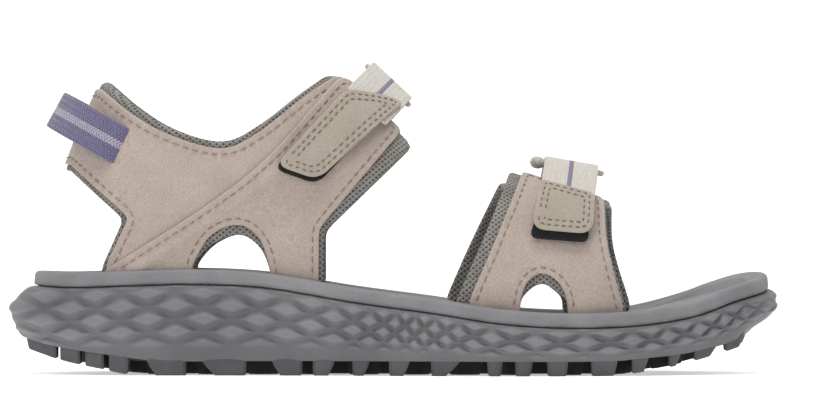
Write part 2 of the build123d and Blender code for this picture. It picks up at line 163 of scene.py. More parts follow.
def sheet(outline, surface, near, thickness, flip=False, spacing=0.9, relief=None, lift=None):
    """Closed sheet of even thickness with a round edge. A square grid fills the outline up to a line set in
    from it by the edge's radius, then rings follow a quarter circle out to the outline. surface maps the
    pattern and the distance out to a place; relief shapes the outer face only, lift moves both faces out.
    flip turns the faces round for the inner side of the foot. Returns points, quads, pattern coordinates."""
    edge = min(thickness / 2, EDGE_ROUND)
    corner = outline.min(0) - spacing
    nx, nz = np.ceil((outline.max(0) + spacing - corner) / spacing).astype(int) + 1
    gx, gz = np.meshgrid(corner[0] + spacing * np.arange(nx), corner[1] + spacing * np.arange(nz),
                         indexing="ij")
    points = np.stack([gx.ravel(), gz.ravel()], axis=1)
    depth, near_point = signed_distance(points, outline)
    keep = (depth > edge - 0.45 * spacing).reshape(nx, nz)
    cells = keep[:-1, :-1] & keep[1:, :-1] & keep[1:, 1:] & keep[:-1, 1:]
    index = np.arange(nx * nz).reshape(nx, nz)
    quads = np.stack([index[:-1, :-1][cells], index[1:, :-1][cells], index[1:, 1:][cells],
                      index[:-1, 1:][cells]], axis=1)
    edges = np.concatenate([quads[:, [k, (k + 1) % 4]] for k in range(4)])
    key = edges[:, 0] * (nx * nz) + edges[:, 1]
    back = edges[:, 1] * (nx * nz) + edges[:, 0]
    border = edges[~np.isin(key, back)]
    rim = np.unique(border)
    out = unit(near_point[rim] - points[rim])
    points[rim] += out * (depth[rim] - edge)[:, None]
    inner = np.setdiff1d(np.unique(quads), rim)
    for _ in range(4):
        total, count = np.zeros_like(points), np.zeros(len(points))
        np.add.at(total, edges[:, 0], points[edges[:, 1]])
        np.add.at(count, edges[:, 0], 1)
        points[inner] = total[inner] / count[inner, None]
    depth_rim, near_rim = signed_distance(points[rim], outline)
    out = unit(near_rim - points[rim])
    used = np.unique(quads)
    slot_of = np.full(nx * nz, -1)
    slot_of[used] = np.arange(len(used))
    flat = points[used]
    angle = np.arange(1, EDGE_RINGS + 1) / EDGE_RINGS * math.pi / 2
    ring_points = [points[rim] + out * (depth_rim * math.sin(a))[:, None] for a in angle]
    pattern = np.vstack([flat] + ring_points + [flat] + ring_points[:-1])
    level = np.concatenate([np.ones(len(flat))] + [np.full(len(rim), max(math.cos(a), 0.0)) for a in angle])
    under = np.concatenate([np.ones(len(flat))] + [np.full(len(rim), math.cos(a)) for a in angle[:-1]])
    out_of = near + thickness / 2 + level * thickness / 2
    if relief is not None:
        out_of = out_of + relief(pattern[: len(out_of)]) * level
    in_of = near + thickness / 2 - under * thickness / 2
    out_of = np.concatenate([out_of, in_of])
    if lift is not None:
        out_of = out_of + lift(pattern)
    place = surface(pattern, out_of)
    rim_slot = np.full(nx * nz, -1)
    rim_slot[rim] = np.arange(len(rim))
    a, b = rim_slot[border[:, 0]], rim_slot[border[:, 1]]
    faces = [slot_of[quads]]
    along = np.arange(len(rim))
    top = [slot_of[rim]] + [len(flat) + k * len(rim) + along for k in range(EDGE_RINGS)]
    base = len(flat) + EDGE_RINGS * len(rim)
    low = [base + len(flat) + k * len(rim) + along for k in range(EDGE_RINGS - 1)]
    low = [base + slot_of[rim], *low, top[-1]]
    for k in range(EDGE_RINGS):
        faces.append(np.stack([top[k][b], top[k][a], top[k + 1][a], top[k + 1][b]], axis=1))
        faces.append(np.stack([low[k][a], low[k][b], low[k + 1][b], low[k + 1][a]], axis=1))
    faces.append(base + slot_of[quads][:, ::-1])
    if flip:
        faces = [f[:, ::-1] for f in faces]
    return place, faces, pattern


def chunked(function, size=4000):
    """The same relief worked out a few thousand pattern points at a time, which keeps its arrays small."""
    def blocks(pattern):
        return np.concatenate([function(p) for p in np.array_split(pattern, len(pattern) // size + 1)])
    return blocks


# ---------------------------------------------------------------- the foot space
class Form:
    """The foot space of one part of the upper, as a pattern that is unrolled from it. Sides are upright.
    Over the top it rolls round an ellipse along the strap, and at the back round an ellipse about the heel.
    top is the strap's highest point in the side view, across the direction of the strap's width there, half
    the foot's half width and rise the height of the arch over its sides."""

    def __init__(self, top, across, middle, half, rise, heel=None):
        self.top, self.half, self.middle_line, self.rise = np.array(top, float), half, middle, rise
        self.across = unit(np.array(across, float))
        self.up = np.array([-self.across[1], self.across[0]])
        self.centre = -STACK - rise
        self.roll = 0.5 * (rise + half) + 2.0
        self.heel = heel

    def heel_line(self, z):
        """X where the sides end and the round of the heel begins, which leans forward with height."""
        return self.heel["centre"] + self.heel["lean"] * z

    def back_line(self, z):
        """Pattern line down the middle of the heel's back, a quarter turn behind the heel line."""
        return self.heel_line(z) - self.heel["roll"] * math.pi / 2

    def place(self, pattern, out, side):
        """Point at a distance d out from the foot: u = c + (rise + d) sin t, y = (half + d) cos t over the
        top. Pattern points past the middle of the heel's back are folded round to the other side."""
        if self.heel:
            back = self.back_line(pattern[:, 1])
            side = np.where(pattern[:, 0] < back, -side, side)
            pattern = np.stack([np.where(pattern[:, 0] < back, 2 * back - pattern[:, 0], pattern[:, 0]),
                                pattern[:, 1]], axis=1)
        rel = pattern - self.top
        u, w = rel @ self.up, rel @ self.across
        turn = np.clip((u - self.centre) / self.roll, 0, None)
        u = np.where(turn > 0, self.centre + (self.rise + out) * np.sin(turn), u)
        flat = self.top + u[:, None] * self.up + w[:, None] * self.across
        x, z = flat[:, 0], flat[:, 1]
        wide = np.cos(turn)
        if self.heel:
            line = self.heel_line(pattern[:, 1])
            around = np.clip((line - pattern[:, 0]) / self.heel["roll"], 0, None)
            x = np.where(around > 0, line - (self.heel["round"] + out) * np.sin(around), x)
            wide = wide * np.cos(around)
        wide = wide * (1 - self.tuck(x, z))
        return np.stack([x, self.middle_line + side * (self.half + out) * wide, z], axis=1)

    def tuck(self, x, z):
        """Share by which the low corners lean in, so that they stay inside the footbed's rim."""
        if self.heel:
            return 0.10 * smoothstep(-88, -103, x) * smoothstep(52, 36, z)
        return 0.17 * smoothstep(58, 84, x) * smoothstep(50, 24, z)

    def unroll(self, points, out=4.0):
        """Pattern point of a place given in the side view."""
        points = np.asarray(points, float)
        rel = points - self.top
        u, w = rel @ self.up, rel @ self.across
        high = np.clip((u - self.centre) / (self.rise + out), 0, 1)
        u = np.where(high > 0, self.centre + self.roll * np.arcsin(high), u)
        flat = self.top + u[:, None] * self.up + w[:, None] * self.across
        if self.heel:
            line = self.heel_line(points[:, 1])
            far = np.clip((line - points[:, 0]) / (self.heel["round"] + out), 0, 1)
            flat[:, 0] = np.where(far > 0, line - self.heel["roll"] * np.arcsin(far), flat[:, 0])
        return flat

    def surface(self, side):
        """place for one side of the foot: -1 is the outer side, 1 the inner side."""
        def on_side(pattern, out):
            return self.place(pattern, out, side)
        return on_side


UPPER = 4.85          # lining and suede together
WEBBING = 1.2
GAP = 0.3             # between pieces that move apart
SEWN_GAP = 0.15       # between pieces that are sewn together
BAR = 2.4             # thickness of a ring's bar
STACK = 2 * WEBBING + 2 * GAP + BAR + UPPER + SEWN_GAP
rear = Form((-1.2, 102.7), (0.73, -0.683), 1.75, 27.2, 24.4,
            heel={"centre": -108.24, "lean": 0.4167, "round": 34.0, "roll": 35.0})
fore = Form((61.2, 74.4), (0.985, -0.17), 0.5, 36.25, 30.0)


def pattern_outline(form, corners, out):
    """Corners (x, z, cut) of the side view, unrolled at a distance out and rounded into a closed outline."""
    flat = form.unroll([c[:2] for c in corners], out)
    return rounded([(*p, c[2]) for p, c in zip(flat, corners)])


# ---------------------------------------------------------------- bands, rods and threads
def strap_place(form, y, u, w):
    """Place of a point of a strap's own section: y across the foot, u above the strap's top, w along the
    foot."""
    return np.stack([form.top[0] + u * form.up[0] + w * form.across[0], form.middle_line + y,
                     form.top[1] + u * form.up[1] + w * form.across[1]], axis=-1)


def band_section(width, thickness, count=7):
    """Flat oval section of a webbing: half circles joined by straight faces, as (across, out) pairs."""
    r = thickness / 2
    turn = np.linspace(-math.pi / 2, math.pi / 2, count)
    right = np.stack([width / 2 - r + r * np.cos(turn), r * np.sin(turn)], axis=1)
    flat = np.linspace(width / 2 - r, r - width / 2, 12)[1:-1]
    top = np.stack([flat, np.full(len(flat), r)], axis=1)
    low = np.stack([-flat, np.full(len(flat), -r)], axis=1)
    return np.vstack([right, top, -right, low])


def sweep(path, outward, across, section):
    """A section carried along a path: each ring is path + across * s + outward * t. Ends are closed by
    fans to their middles. Returns points, faces, and (length along, s) as pattern coordinates."""
    n, m = len(path), len(section)
    verts = path[:, None] + across[:, None] * section[None, :, :1] + outward[:, None] * section[None, :, 1:]
    steps = np.concatenate([[0], np.cumsum(np.linalg.norm(np.diff(path, axis=0), axis=1))])
    uv = np.stack([np.broadcast_to(steps[:, None], (n, m)), np.broadcast_to(section[None, :, 0], (n, m))],
                  axis=-1)
    verts = np.vstack([verts.reshape(-1, 3), path[:1], path[-1:]])
    uv = np.vstack([uv.reshape(-1, 2), [[steps[0], 0.0], [steps[-1], 0.0]]])
    k = np.arange(m)
    fan_a = np.stack([k, (k + 1) % m, np.full(m, n * m)], axis=1)
    fan_b = np.stack([(n - 1) * m + (k + 1) % m, (n - 1) * m + k, np.full(m, n * m + 1)], axis=1)
    return verts, [grid_faces(n, m, wrap=True, flip=True), fan_a, fan_b], uv


def strap_band(form, path, width):
    """A webbing along a (y, u) path in the strap's plane, its width along the foot."""
    path = np.asarray(path, float)
    ahead = unit(np.gradient(path, axis=0))
    normal = np.stack([ahead[:, 1], -ahead[:, 0]], axis=1)
    centre = strap_place(form, path[:, 0], path[:, 1], np.zeros(len(path)))
    up3 = np.array([form.up[0], 0.0, form.up[1]])
    outward = normal[:, :1] * np.array([0.0, 1.0, 0.0]) + normal[:, 1:] * up3
    across = np.broadcast_to(np.array([form.across[0], 0.0, form.across[1]]), centre.shape)
    return sweep(centre, outward, across, band_section(width, WEBBING))


def arch_path(form, out, start, end, count):
    """(y, u) path round the arch on the outer side at a distance out, from height u=start up to y=end."""
    top = math.acos(np.clip(-end / (form.half + out), -1, 1))
    if start < form.centre:
        down = np.linspace(start, form.centre, 16, endpoint=False)
        low = np.stack([np.full(16, -(form.half + out)), down], axis=1)
        begin = 0.0
    else:
        low = np.zeros((0, 2))
        begin = math.asin((start - form.centre) / (form.rise + out))
    t = np.linspace(begin, top, 60)
    curve = np.stack([-(form.half + out) * np.cos(t), form.centre + (form.rise + out) * np.sin(t)], axis=1)
    return resample(np.vstack([low, curve]), count)


def cubic(t, a, b, ta, tb):
    """Cubic from a to b with end slopes ta and tb, at shares t of the way: Hermite's four weights."""
    return ((2 * t ** 3 - 3 * t ** 2 + 1) * a + (t ** 3 - 2 * t ** 2 + t) * ta
            + (3 * t ** 2 - 2 * t ** 3) * b + (t ** 3 - t ** 2) * tb)


def hermite(a, b, ta, tb, count):
    """Points along the cubic between two points with the given end slopes."""
    a, b, ta, tb = (np.asarray(v, float) for v in (a, b, ta, tb))
    return cubic(np.linspace(0, 1, count)[:, None], a, b, ta, tb)


def inset_line(outline, depth):
    """The outline drawn in by a depth: each point moves along its inner normal, folded parts are
    dropped."""
    points = resample(np.vstack([outline, outline[:1]]), max(int(len(outline) * 1.5), 160))[:-1]
    ahead = unit(np.roll(points, -1, axis=0) - np.roll(points, 1, axis=0))
    after = np.roll(points, -1, axis=0)
    turn = np.sign(np.sum(points[:, 0] * after[:, 1] - after[:, 0] * points[:, 1]))
    moved = points + turn * depth * np.stack([-ahead[:, 1], ahead[:, 0]], axis=1)
    gap, _ = signed_distance(moved, outline)
    return moved[gap > depth - 0.12]


def stitch_row(line, surface, out, length=2.5, gap=0.95, radius=0.33, keep=None):
    """Threads laid along a pattern line: each is a thin rod that dips into the cloth at both its ends.
    keep says which pattern points carry a stitch."""
    longest_step = 3.0
    breaks = np.where(np.linalg.norm(np.diff(line, axis=0), axis=1) > longest_step)[0] + 1
    starts, ends = [], []
    for run in np.split(line, breaks):
        if len(run) < 3:
            continue
        steps = np.linalg.norm(np.diff(run, axis=0), axis=1)
        number = int(steps.sum() / (length + gap))
        if number < 1:
            continue
        along = np.concatenate([[0], np.cumsum(steps)])
        at = np.arange(number) * (length + gap) + 0.3
        for where, store in ((at, starts), (at + length, ends)):
            store.append(np.stack([np.interp(where, along, run[:, k]) for k in range(2)], axis=1))
    if not starts:
        return None
    a, b = np.vstack(starts), np.vstack(ends)
    if keep is not None:
        good = keep(0.5 * (a + b))
        a, b = a[good], b[good]
    stations, around = 6, 6
    t = np.linspace(0, 1, stations)
    pattern = a[:, None] * (1 - t)[None, :, None] + b[:, None] * t[None, :, None]
    rise = 0.30 * np.sin(np.pi * t) - 0.12
    flat = pattern.reshape(-1, 2)
    height = np.broadcast_to(out + rise[None], pattern.shape[:2]).ravel()
    path = surface(flat, height).reshape(len(a), stations, 3)
    above = surface(flat, height + 1.0).reshape(len(a), stations, 3)
    outward = unit(above - path)
    ahead = unit(np.gradient(path, axis=1))
    across = unit(np.cross(ahead, outward))
    turn = np.arange(around) / around * 2 * math.pi
    size = radius * np.sqrt(np.clip(np.sin(np.pi * (0.06 + 0.88 * t)), 0, 1))[None, :, None, None]
    turn = turn[None, None, :, None]
    ring = across[:, :, None] * np.cos(turn) + outward[:, :, None] * np.sin(turn)
    verts = (path[:, :, None] + ring * size).reshape(-1, 3)
    one = grid_faces(stations, around, wrap=True)
    block = stations * around
    faces = (one[None] + (np.arange(len(a)) * block)[:, None, None]).reshape(-1, 4)
    k = np.arange(around)
    cap_a = k[::-1][None] + (np.arange(len(a)) * block)[:, None]
    cap_b = (k + block - around)[None] + (np.arange(len(a)) * block)[:, None]
    return verts, [faces, cap_a, cap_b]


def join(*meshes):
    """Several meshes as one: their points follow one another and their faces are renumbered."""
    verts, faces, uvs, base = [], [], [], 0
    for mesh in meshes:
        verts.append(mesh[0])
        faces += [np.asarray(f) + base for f in mesh[1]]
        uvs.append(mesh[2] if len(mesh) > 2 else np.zeros((len(mesh[0]), 2)))
        base += len(mesh[0])
    return np.vstack(verts), faces, np.vstack(uvs)


# ---------------------------------------------------------------- finishes
class Finish:
    """A procedural material: short helpers that add nodes and hand back their output sockets."""

    def __init__(self, name, rough=0.8, sheen=0.0, sheen_rough=0.5, tint=(1, 1, 1), specular=0.5):
        self.material = bpy.data.materials.new(name)
        self.material.use_nodes = True
        self.tree = self.material.node_tree
        self.shader = self.tree.nodes["Principled BSDF"]
        self.set(self.shader, {"Roughness": rough, "Sheen Weight": sheen, "Sheen Roughness": sheen_rough,
                               "Sheen Tint": (*tint, 1), "Specular IOR Level": specular})
        self.coords = self.tree.nodes.new("ShaderNodeTexCoord")

    def set(self, node, values):
        """Links each value that is a socket, and writes the others as constants."""
        for key, value in values.items():
            if isinstance(value, bpy.types.NodeSocket):
                self.tree.links.new(value, node.inputs[key])
            else:
                node.inputs[key].default_value = value

    def node(self, kind, values=None, out=0, **props):
        made = self.tree.nodes.new(kind)
        for key, value in props.items():
            setattr(made, key, value)
        self.set(made, values or {})
        return made.outputs[out]

    def math(self, operation, a, b=0.0, c=0.0):
        return self.node("ShaderNodeMath", {0: a, 1: b, 2: c}, operation=operation)

    def place(self):
        """Object coordinates in millimetres."""
        return self.node("ShaderNodeVectorMath", {0: self.coords.outputs["Object"], "Scale": 1000.0},
                         operation="SCALE")

    def pattern(self):
        """The piece's own pattern coordinates, in millimetres, as two sockets."""
        split = self.tree.nodes.new("ShaderNodeSeparateXYZ")
        self.tree.links.new(self.coords.outputs["UV"], split.inputs[0])
        return split.outputs[0], split.outputs[1]

    def noise(self, where, scale, detail=3.0, rough=0.55):
        return self.node("ShaderNodeTexNoise", {"Vector": where, "Scale": scale, "Detail": detail,
                                                "Roughness": rough})

    def blend(self, amount, a, b):
        """Colour a turning into colour b by an amount."""
        mix = self.tree.nodes.new("ShaderNodeMix")
        mix.data_type = "RGBA"
        self.set(mix, {0: amount})
        for socket, value in ((mix.inputs[6], a), (mix.inputs[7], b)):
            if isinstance(value, bpy.types.NodeSocket):
                self.tree.links.new(value, socket)
            else:
                socket.default_value = (*value, 1)
        return mix.outputs[2]

    def ramp(self, value, low, high, start=0.0, end=1.0):
        """start below low, end above high, and a smooth step between."""
        return self.node("ShaderNodeMapRange", {"Value": value, "From Min": low, "From Max": high,
                                                "To Min": start, "To Max": end},
                         interpolation_type="SMOOTHSTEP")

    def bump(self, height, strength, distance):
        return self.node("ShaderNodeBump", {"Height": height, "Strength": strength,
                                            "Distance": distance * MM})

    def done(self, colour, normal=None, rough=None):
        self.set(self.shader, {"Base Color": colour})
        if normal is not None:
            self.set(self.shader, {"Normal": normal})
        if rough is not None:
            self.set(self.shader, {"Roughness": rough})
        return self.material


def linear(hex_code):
    """Linear light colour of an sRGB hex code."""
    value = np.array([int(hex_code[k:k + 2], 16) / 255 for k in (0, 2, 4)])
    light = np.where(value <= 0.04045, value / 12.92, ((value + 0.055) / 1.055) ** 2.4)
    return tuple(float(v) for v in light)


def dimmed(colour, share):
    """A colour times a share, held under full white."""
    return tuple(min(c * share, 1) for c in colour)


def wave(f, value, length, kind="SINE"):
    """A sine or cosine of a coordinate, one turn for each length."""
    return f.math(kind, f.math("MULTIPLY", value, 2 * math.pi / length))


def foam_finish(name, dark, light, rough, grain, pillows=False):
    """Moulded rubber or foam: soft clouding, fine pores and a few scuffs. On the pillowed wall the grooves
    are darkened as painted shade and the crowns lightened as a painted highlight, by the height kept in the
    pattern coordinates."""
    f = Finish(name, specular=0.35)
    where = f.place()
    cloud = f.noise(where, 0.045, 4.0)
    pores = f.noise(where, 2.6, 2.0, 0.6)
    scuff = f.ramp(f.noise(where, 0.5, 5.0, 0.7), 0.60, 0.78)
    colour = f.blend(f.ramp(cloud, 0.3, 0.7), dark, light)
    colour = f.blend(f.math("MULTIPLY", scuff, 0.22), colour, dimmed(light, 1.35))
    colour = f.blend(f.math("MULTIPLY", f.ramp(pores, 0.35, 0.5, 1.0, 0.0), 0.25), colour,
                     dimmed(dark, 0.6))
    if pillows:
        crown, _ = f.pattern()
        # painted shade: the grooves between the pillows are darkened
        colour = f.blend(f.ramp(crown, 0.0, 0.30, 0.26, 0.0), colour, dimmed(dark, 0.45))
        # painted highlight: the pillows' crowns are lightened
        colour = f.blend(f.ramp(crown, 0.5, 1.0, 0.0, 0.22), colour, dimmed(light, 1.6))
    return f.done(colour, f.bump(pores, 0.5, grain), f.ramp(cloud, 0.2, 0.8, rough - 0.07, rough + 0.07))


def suede_finish(name, dark, mid, light, nap=0.5):
    """Brushed leather: mottled where the nap lies one way or the other, with a fine fibre."""
    f = Finish(name, rough=0.95, sheen=0.35, sheen_rough=0.45, tint=(1.0, 0.93, 0.88), specular=0.2)
    where = f.place()
    brushed = f.noise(where, 0.07, 4.0, 0.6)
    mottle = f.noise(where, 0.62, 5.0, 0.75)
    fibre = f.noise(where, 1.7, 4.0, 0.8)
    colour = f.blend(f.ramp(brushed, 0.25, 0.75, 0.2, 0.8), dark, light)
    colour = f.blend(f.ramp(mottle, 0.35, 0.65), colour, mid)
    colour = f.blend(f.math("MULTIPLY", f.ramp(fibre, 0.36, 0.56, 1.0, 0.0), nap * 0.75), colour,
                     dimmed(dark, 0.52))
    colour = f.blend(f.math("MULTIPLY", f.ramp(fibre, 0.56, 0.72), nap * 0.45), colour,
                     dimmed(light, 1.3))
    height = f.math("ADD", f.math("MULTIPLY", fibre, 0.8), f.math("MULTIPLY", mottle, 0.5))
    return f.done(colour, f.bump(height, 0.8, 0.5))


def mesh_finish(name, yarn, yarn_light, hole):
    """Spacer mesh: staggered rows of small holes, the yarn ridged between them."""
    f = Finish(name, rough=0.9, sheen=0.2, specular=0.2)
    u, v = f.pattern()
    grid = f.math("MULTIPLY", wave(f, u, 2.3, "COSINE"), wave(f, v, 1.9, "COSINE"))
    holes = f.ramp(grid, 0.18, 0.62)
    rib = wave(f, f.math("ADD", u, v), 0.62)
    tone = f.noise(f.place(), 0.12, 4.0)
    colour = f.blend(f.ramp(tone, 0.3, 0.7), yarn, yarn_light)
    colour = f.blend(f.ramp(rib, -1, 1, 0.22, 0.0), colour, dimmed(yarn, 0.5))
    colour = f.blend(f.math("MULTIPLY", holes, 0.88), colour, hole)
    height = f.math("ADD", f.math("MULTIPLY", grid, -0.7), f.math("MULTIPLY", rib, 0.18))
    return f.done(colour, f.bump(height, 0.9, 0.5))


def webbing_finish(name, yarn, shade, stripe, stripe_half, pitch, coarse):
    """Woven webbing: a chevron twill along its length, ribs across it and one stripe down its middle."""
    f = Finish(name, rough=0.85, sheen=0.25, specular=0.25)
    along, across = f.pattern()
    share = f.math("FRACT", f.math("DIVIDE", across, pitch * 2.0))
    fold = f.math("ABSOLUTE", f.math("SUBTRACT", share, 0.5))
    twill = wave(f, f.math("ADD", f.math("DIVIDE", along, pitch), f.math("MULTIPLY", fold, 2.0)), 1.0)
    rib = wave(f, across, pitch * 0.9)
    middle = f.math("ABSOLUTE", across)
    in_stripe = f.ramp(middle, stripe_half - 0.12, stripe_half + 0.12, 1.0, 0.0)
    tone = f.noise(f.place(), 0.5, 4.0)
    base = f.blend(f.ramp(tone, 0.3, 0.7), yarn, dimmed(yarn, 0.9))
    base = f.blend(in_stripe, base, stripe)
    base = f.blend(f.ramp(twill, -0.2, -1.0, 0.0, coarse), base, shade)
    height = f.math("ADD", f.math("MULTIPLY", twill, 0.5), f.math("MULTIPLY", rib, 0.3))
    return f.done(base, f.bump(height, 0.8, 0.4))


def plastic_finish(name, dark, light):
    """Moulded nylon: nearly even, softly glossy with a faint moulding grain."""
    f = Finish(name, rough=0.42, specular=0.5)
    where = f.place()
    grain = f.noise(where, 1.6, 3.0)
    colour = f.blend(f.ramp(f.noise(where, 0.2, 3.0), 0.3, 0.7), dark, light)
    return f.done(colour, f.bump(grain, 0.25, 0.15), f.ramp(grain, 0.3, 0.7, 0.36, 0.5))


def fastener_finish(name, base, tip, pitch, furry):
    """Touch tape: rows of small hooks, or a napped loop face."""
    f = Finish(name, rough=0.9, sheen=0.3 if furry else 0.05, specular=0.25)
    where = f.place()
    fuzz = f.noise(where, 2.2 if furry else 1.2, 5.0, 0.7)
    u, v = f.pattern()
    rows = f.math("MULTIPLY", wave(f, u, pitch), wave(f, v, pitch))
    height = fuzz if furry else f.math("ADD", rows, f.math("MULTIPLY", fuzz, 0.4))
    colour = f.blend(f.ramp(height, 0.35, 0.7), base, tip)
    return f.done(colour, f.bump(height, 0.9, 0.5))


def thread_finish(name, dark, light):
    """Sewing thread: two tones along its twist."""
    f = Finish(name, rough=0.8, sheen=0.2, specular=0.3)
    where = f.place()
    twist = f.noise(where, 1.8, 2.0)
    return f.done(f.blend(f.ramp(twist, 0.3, 0.7), dark, light), f.bump(twist, 0.4, 0.1))


rubber = foam_finish("outsole_rubber_finish", linear("48484b"), linear("58585b"), 0.72, 0.10)
# painted shade: a darker copy of the outsole rubber for the slab and the inner lugs, so the gaps between the
# lugs read dark
shaded_rubber = foam_finish("outsole_shaded_core_finish", linear("262628"), linear("343436"), 0.80, 0.10)
foam = foam_finish("midsole_foam_finish", linear("636466"), linear("727274"), 0.60, 0.10, pillows=True)
bed = foam_finish("footbed_foam_finish", linear("747476"), linear("838385"), 0.70, 0.16)
suede = suede_finish("upper_suede_finish", linear("a29389"), linear("b1a399"), linear("bcafa7"))
nubuck = suede_finish("tab_suede_finish", linear("978c7e"), linear("a69c8e"), linear("b4aba0"), 0.4)
knit = mesh_finish("lining_mesh_finish", linear("827e79"), linear("98948e"), linear("302e2d"))
cream = webbing_finish("strap_webbing_finish", linear("ddd7cd"), linear("aaa29b"), linear("7d7392"),
                       stripe_half=0.8, pitch=0.9, coarse=0.35)
lilac = webbing_finish("pull_webbing_finish", linear("726d8d"), linear("454159"), linear("a9a3b4"),
                       stripe_half=1.3, pitch=1.15, coarse=0.8)
nylon = plastic_finish("ring_plastic_finish", linear("9a998d"), linear("aeada2"))
hooks = fastener_finish("hook_tape_finish", linear("131314"), linear("2b2b2e"), 1.1, False)
loops = fastener_finish("loop_tape_finish", linear("4e4758"), linear("736b80"), 1.3, True)
# both thread colours are set darker than the thread itself: partly the thread's colour, partly painted shade
# of the stitch furrows
thread = thread_finish("upper_thread_finish", linear("75665d"), linear("98887d"))
tab_thread = thread_finish("tab_thread_finish", linear("5b5246"), linear("786d5f"))


# ---------------------------------------------------------------- sole
HALF_LENGTH = 133.0
COLUMNS = 960         # points round the sole
# points of the sole's outline from the heel round the inner side, each with its heading
plan_points = np.array([(-133, 1.75), (-91.77, 39), (-23.94, 37.25), (57.19, 49), (111.72, 37.24),
                        (133, 8.33), (113.05, -24.5), (41.23, -49), (-31.92, -37.25), (-91.77, -35.5)], float)
plan_headings = np.array([(0, 1), (1, .02), (1, .03), (1, 0), (.77, -.64),
                          (0, -1), (-.8, -.6), (-1, 0), (-1, .08), (-1, .03)], float)
TOE = 5               # which of the points is the toe


def plan_outline(count):
    """The sole's outline from above: cubics through its points with their headings, sampled evenly along
    each side, so that point k and point -k are opposite one another. Returns points and outward normals."""
    heads = unit(plan_headings)
    ends, end_heads = np.roll(plan_points, -1, axis=0), np.roll(heads, -1, axis=0)
    chord = np.linalg.norm(ends - plan_points, axis=1)[:, None]
    t = np.linspace(0, 1, 80, endpoint=False)[None, :, None]
    a, b, ta, tb = (v[:, None] for v in (plan_points, ends, heads * chord, end_heads * chord))
    curve = cubic(t, a, b, ta, tb)
    inner = resample(np.vstack([curve[:TOE].reshape(-1, 2), curve[TOE, :1]]), count // 2 + 1)[:-1]
    outer = resample(np.vstack([curve[TOE:].reshape(-1, 2), curve[0, :1]]), count // 2 + 1)[:-1]
    points = np.vstack([inner, outer])
    ahead = unit(np.roll(points, -1, axis=0) - np.roll(points, 1, axis=0))
    return points, np.stack([-ahead[:, 1], ahead[:, 0]], axis=1)


def height_line(points):
    """Height along the sole as a smooth curve through (x, z) points."""
    curve = catmull(points, 400)

    def height(x):
        return np.interp(x, curve[:, 0], curve[:, 1])
    return height


# heights along the sole: the footbed's rim, the midsole's lower edge, the outsole's top and its tread
rim_height = height_line([(-134.5, 35.9), (-115, 35.4), (-92, 36.1), (-70, 36.6), (-45, 35.3), (-15, 30.3),
                          (12, 26.6), (36, 23.0), (60, 21.6), (84, 22.3), (104, 25.2), (120, 30.4),
                          (134.5, 34.0)])
low_line = height_line([(-134.5, 13.5), (-120, 10.0), (-100, 7.2), (-80, 5.1), (-40, 5.1), (20, 5.1),
                        (70, 5.1), (84, 5.9), (96, 7.0), (104, 8.3), (114, 10.5), (122, 13.2), (128, 15.0),
                        (134.5, 17.0)])
slab_top = height_line([(-134.5, 17), (-120, 11.5), (-100, 8.7), (-70, 6.5), (0, 6.5), (60, 6.5), (84, 7.6),
                        (104, 10.6), (120, 16.0), (134.5, 22)])
tread_height = height_line([(-134.5, 12), (-128, 8.6), (-116, 5), (-102, 2.2), (-86, 0), (-40, 0), (20, 0),
                            (70, 0), (84, 1.2), (96, 3.2), (108, 6.3), (118, 9.2), (126, 12.6),
                            (134.5, 17.0)])
RIM = 4.9             # height of the footbed's edge over its joint with the midsole
LUG = 4.6             # height of a lug


def heel_curl(x):
    """0 along the sole, rising to 1 at the end of the heel."""
    return smoothstep(-112, -133, x)


def toe_curl(x):
    """0 along the sole, rising to 1 at the end of the toe."""
    return smoothstep(118, 133, x)


def medial_rise(x, y):
    """How much higher the rim stands on the inner side of the toes."""
    return 3.2 * smoothstep(70, 112, x) * smoothstep(-5, 30, y)


def shrink(points, share):
    """Outline points drawn towards the sole's middle line, which itself stops short of heel and toe.
    Opposite points have the same target, so a skin closes there."""
    side = np.linspace(0, 1, COLUMNS // 2, endpoint=False)
    way = np.concatenate([side, 1 - side])
    spine_x = -97.0 + 200.0 * way
    target = np.stack([spine_x, middle_line(spine_x)], axis=1)
    return target + (points - target) * share


def middle_line(x):
    """Y of the sole's middle along its length."""
    return np.interp(x, [-133, -92, -28, 50, 112, 133], [1.75, 1.75, 0.0, 0.0, 6.4, 8.3])


LID_SHARES = (0.0, 0.25, 0.5, 0.75, 1.0)


def lid(points, shares, height, lift=0.0):
    """Rings of a skin's flat end, drawn in by each share; height gives z at a ring's own points."""
    flats = [shrink(points, share) for share in shares]
    return [np.column_stack([flat, height(flat) + lift]) for flat in flats]


def joint_height(flat):
    """Height of the joint between footbed and midsole."""
    return rim_height(flat[:, 0]) + medial_rise(*flat.T) - RIM


def wall_low(flat):
    """Height of the midsole's lower edge."""
    return low_line(flat[:, 0])


def ring_stack(rings):
    """Rings of points joined into a closed skin, whose first and last rings lie on a line."""
    n = rings[0].shape[0]
    return np.vstack(rings), [grid_faces(len(rings), n, wrap=True, flip=True)]


def welded(piece, gap=0.00002):
    """Merges the doubled points along the line where a skin closes and drops faces without area."""
    work = bmesh.new()
    work.from_mesh(piece.data)
    bmesh.ops.remove_doubles(work, verts=work.verts, dist=gap)
    bmesh.ops.dissolve_degenerate(work, dist=gap / 2, edges=work.edges)
    bmesh.ops.recalc_face_normals(work, faces=work.faces)
    work.to_mesh(piece.data)
    work.free()
    piece.data.polygons.foreach_set("use_smooth", np.ones(len(piece.data.polygons), bool))
    return piece


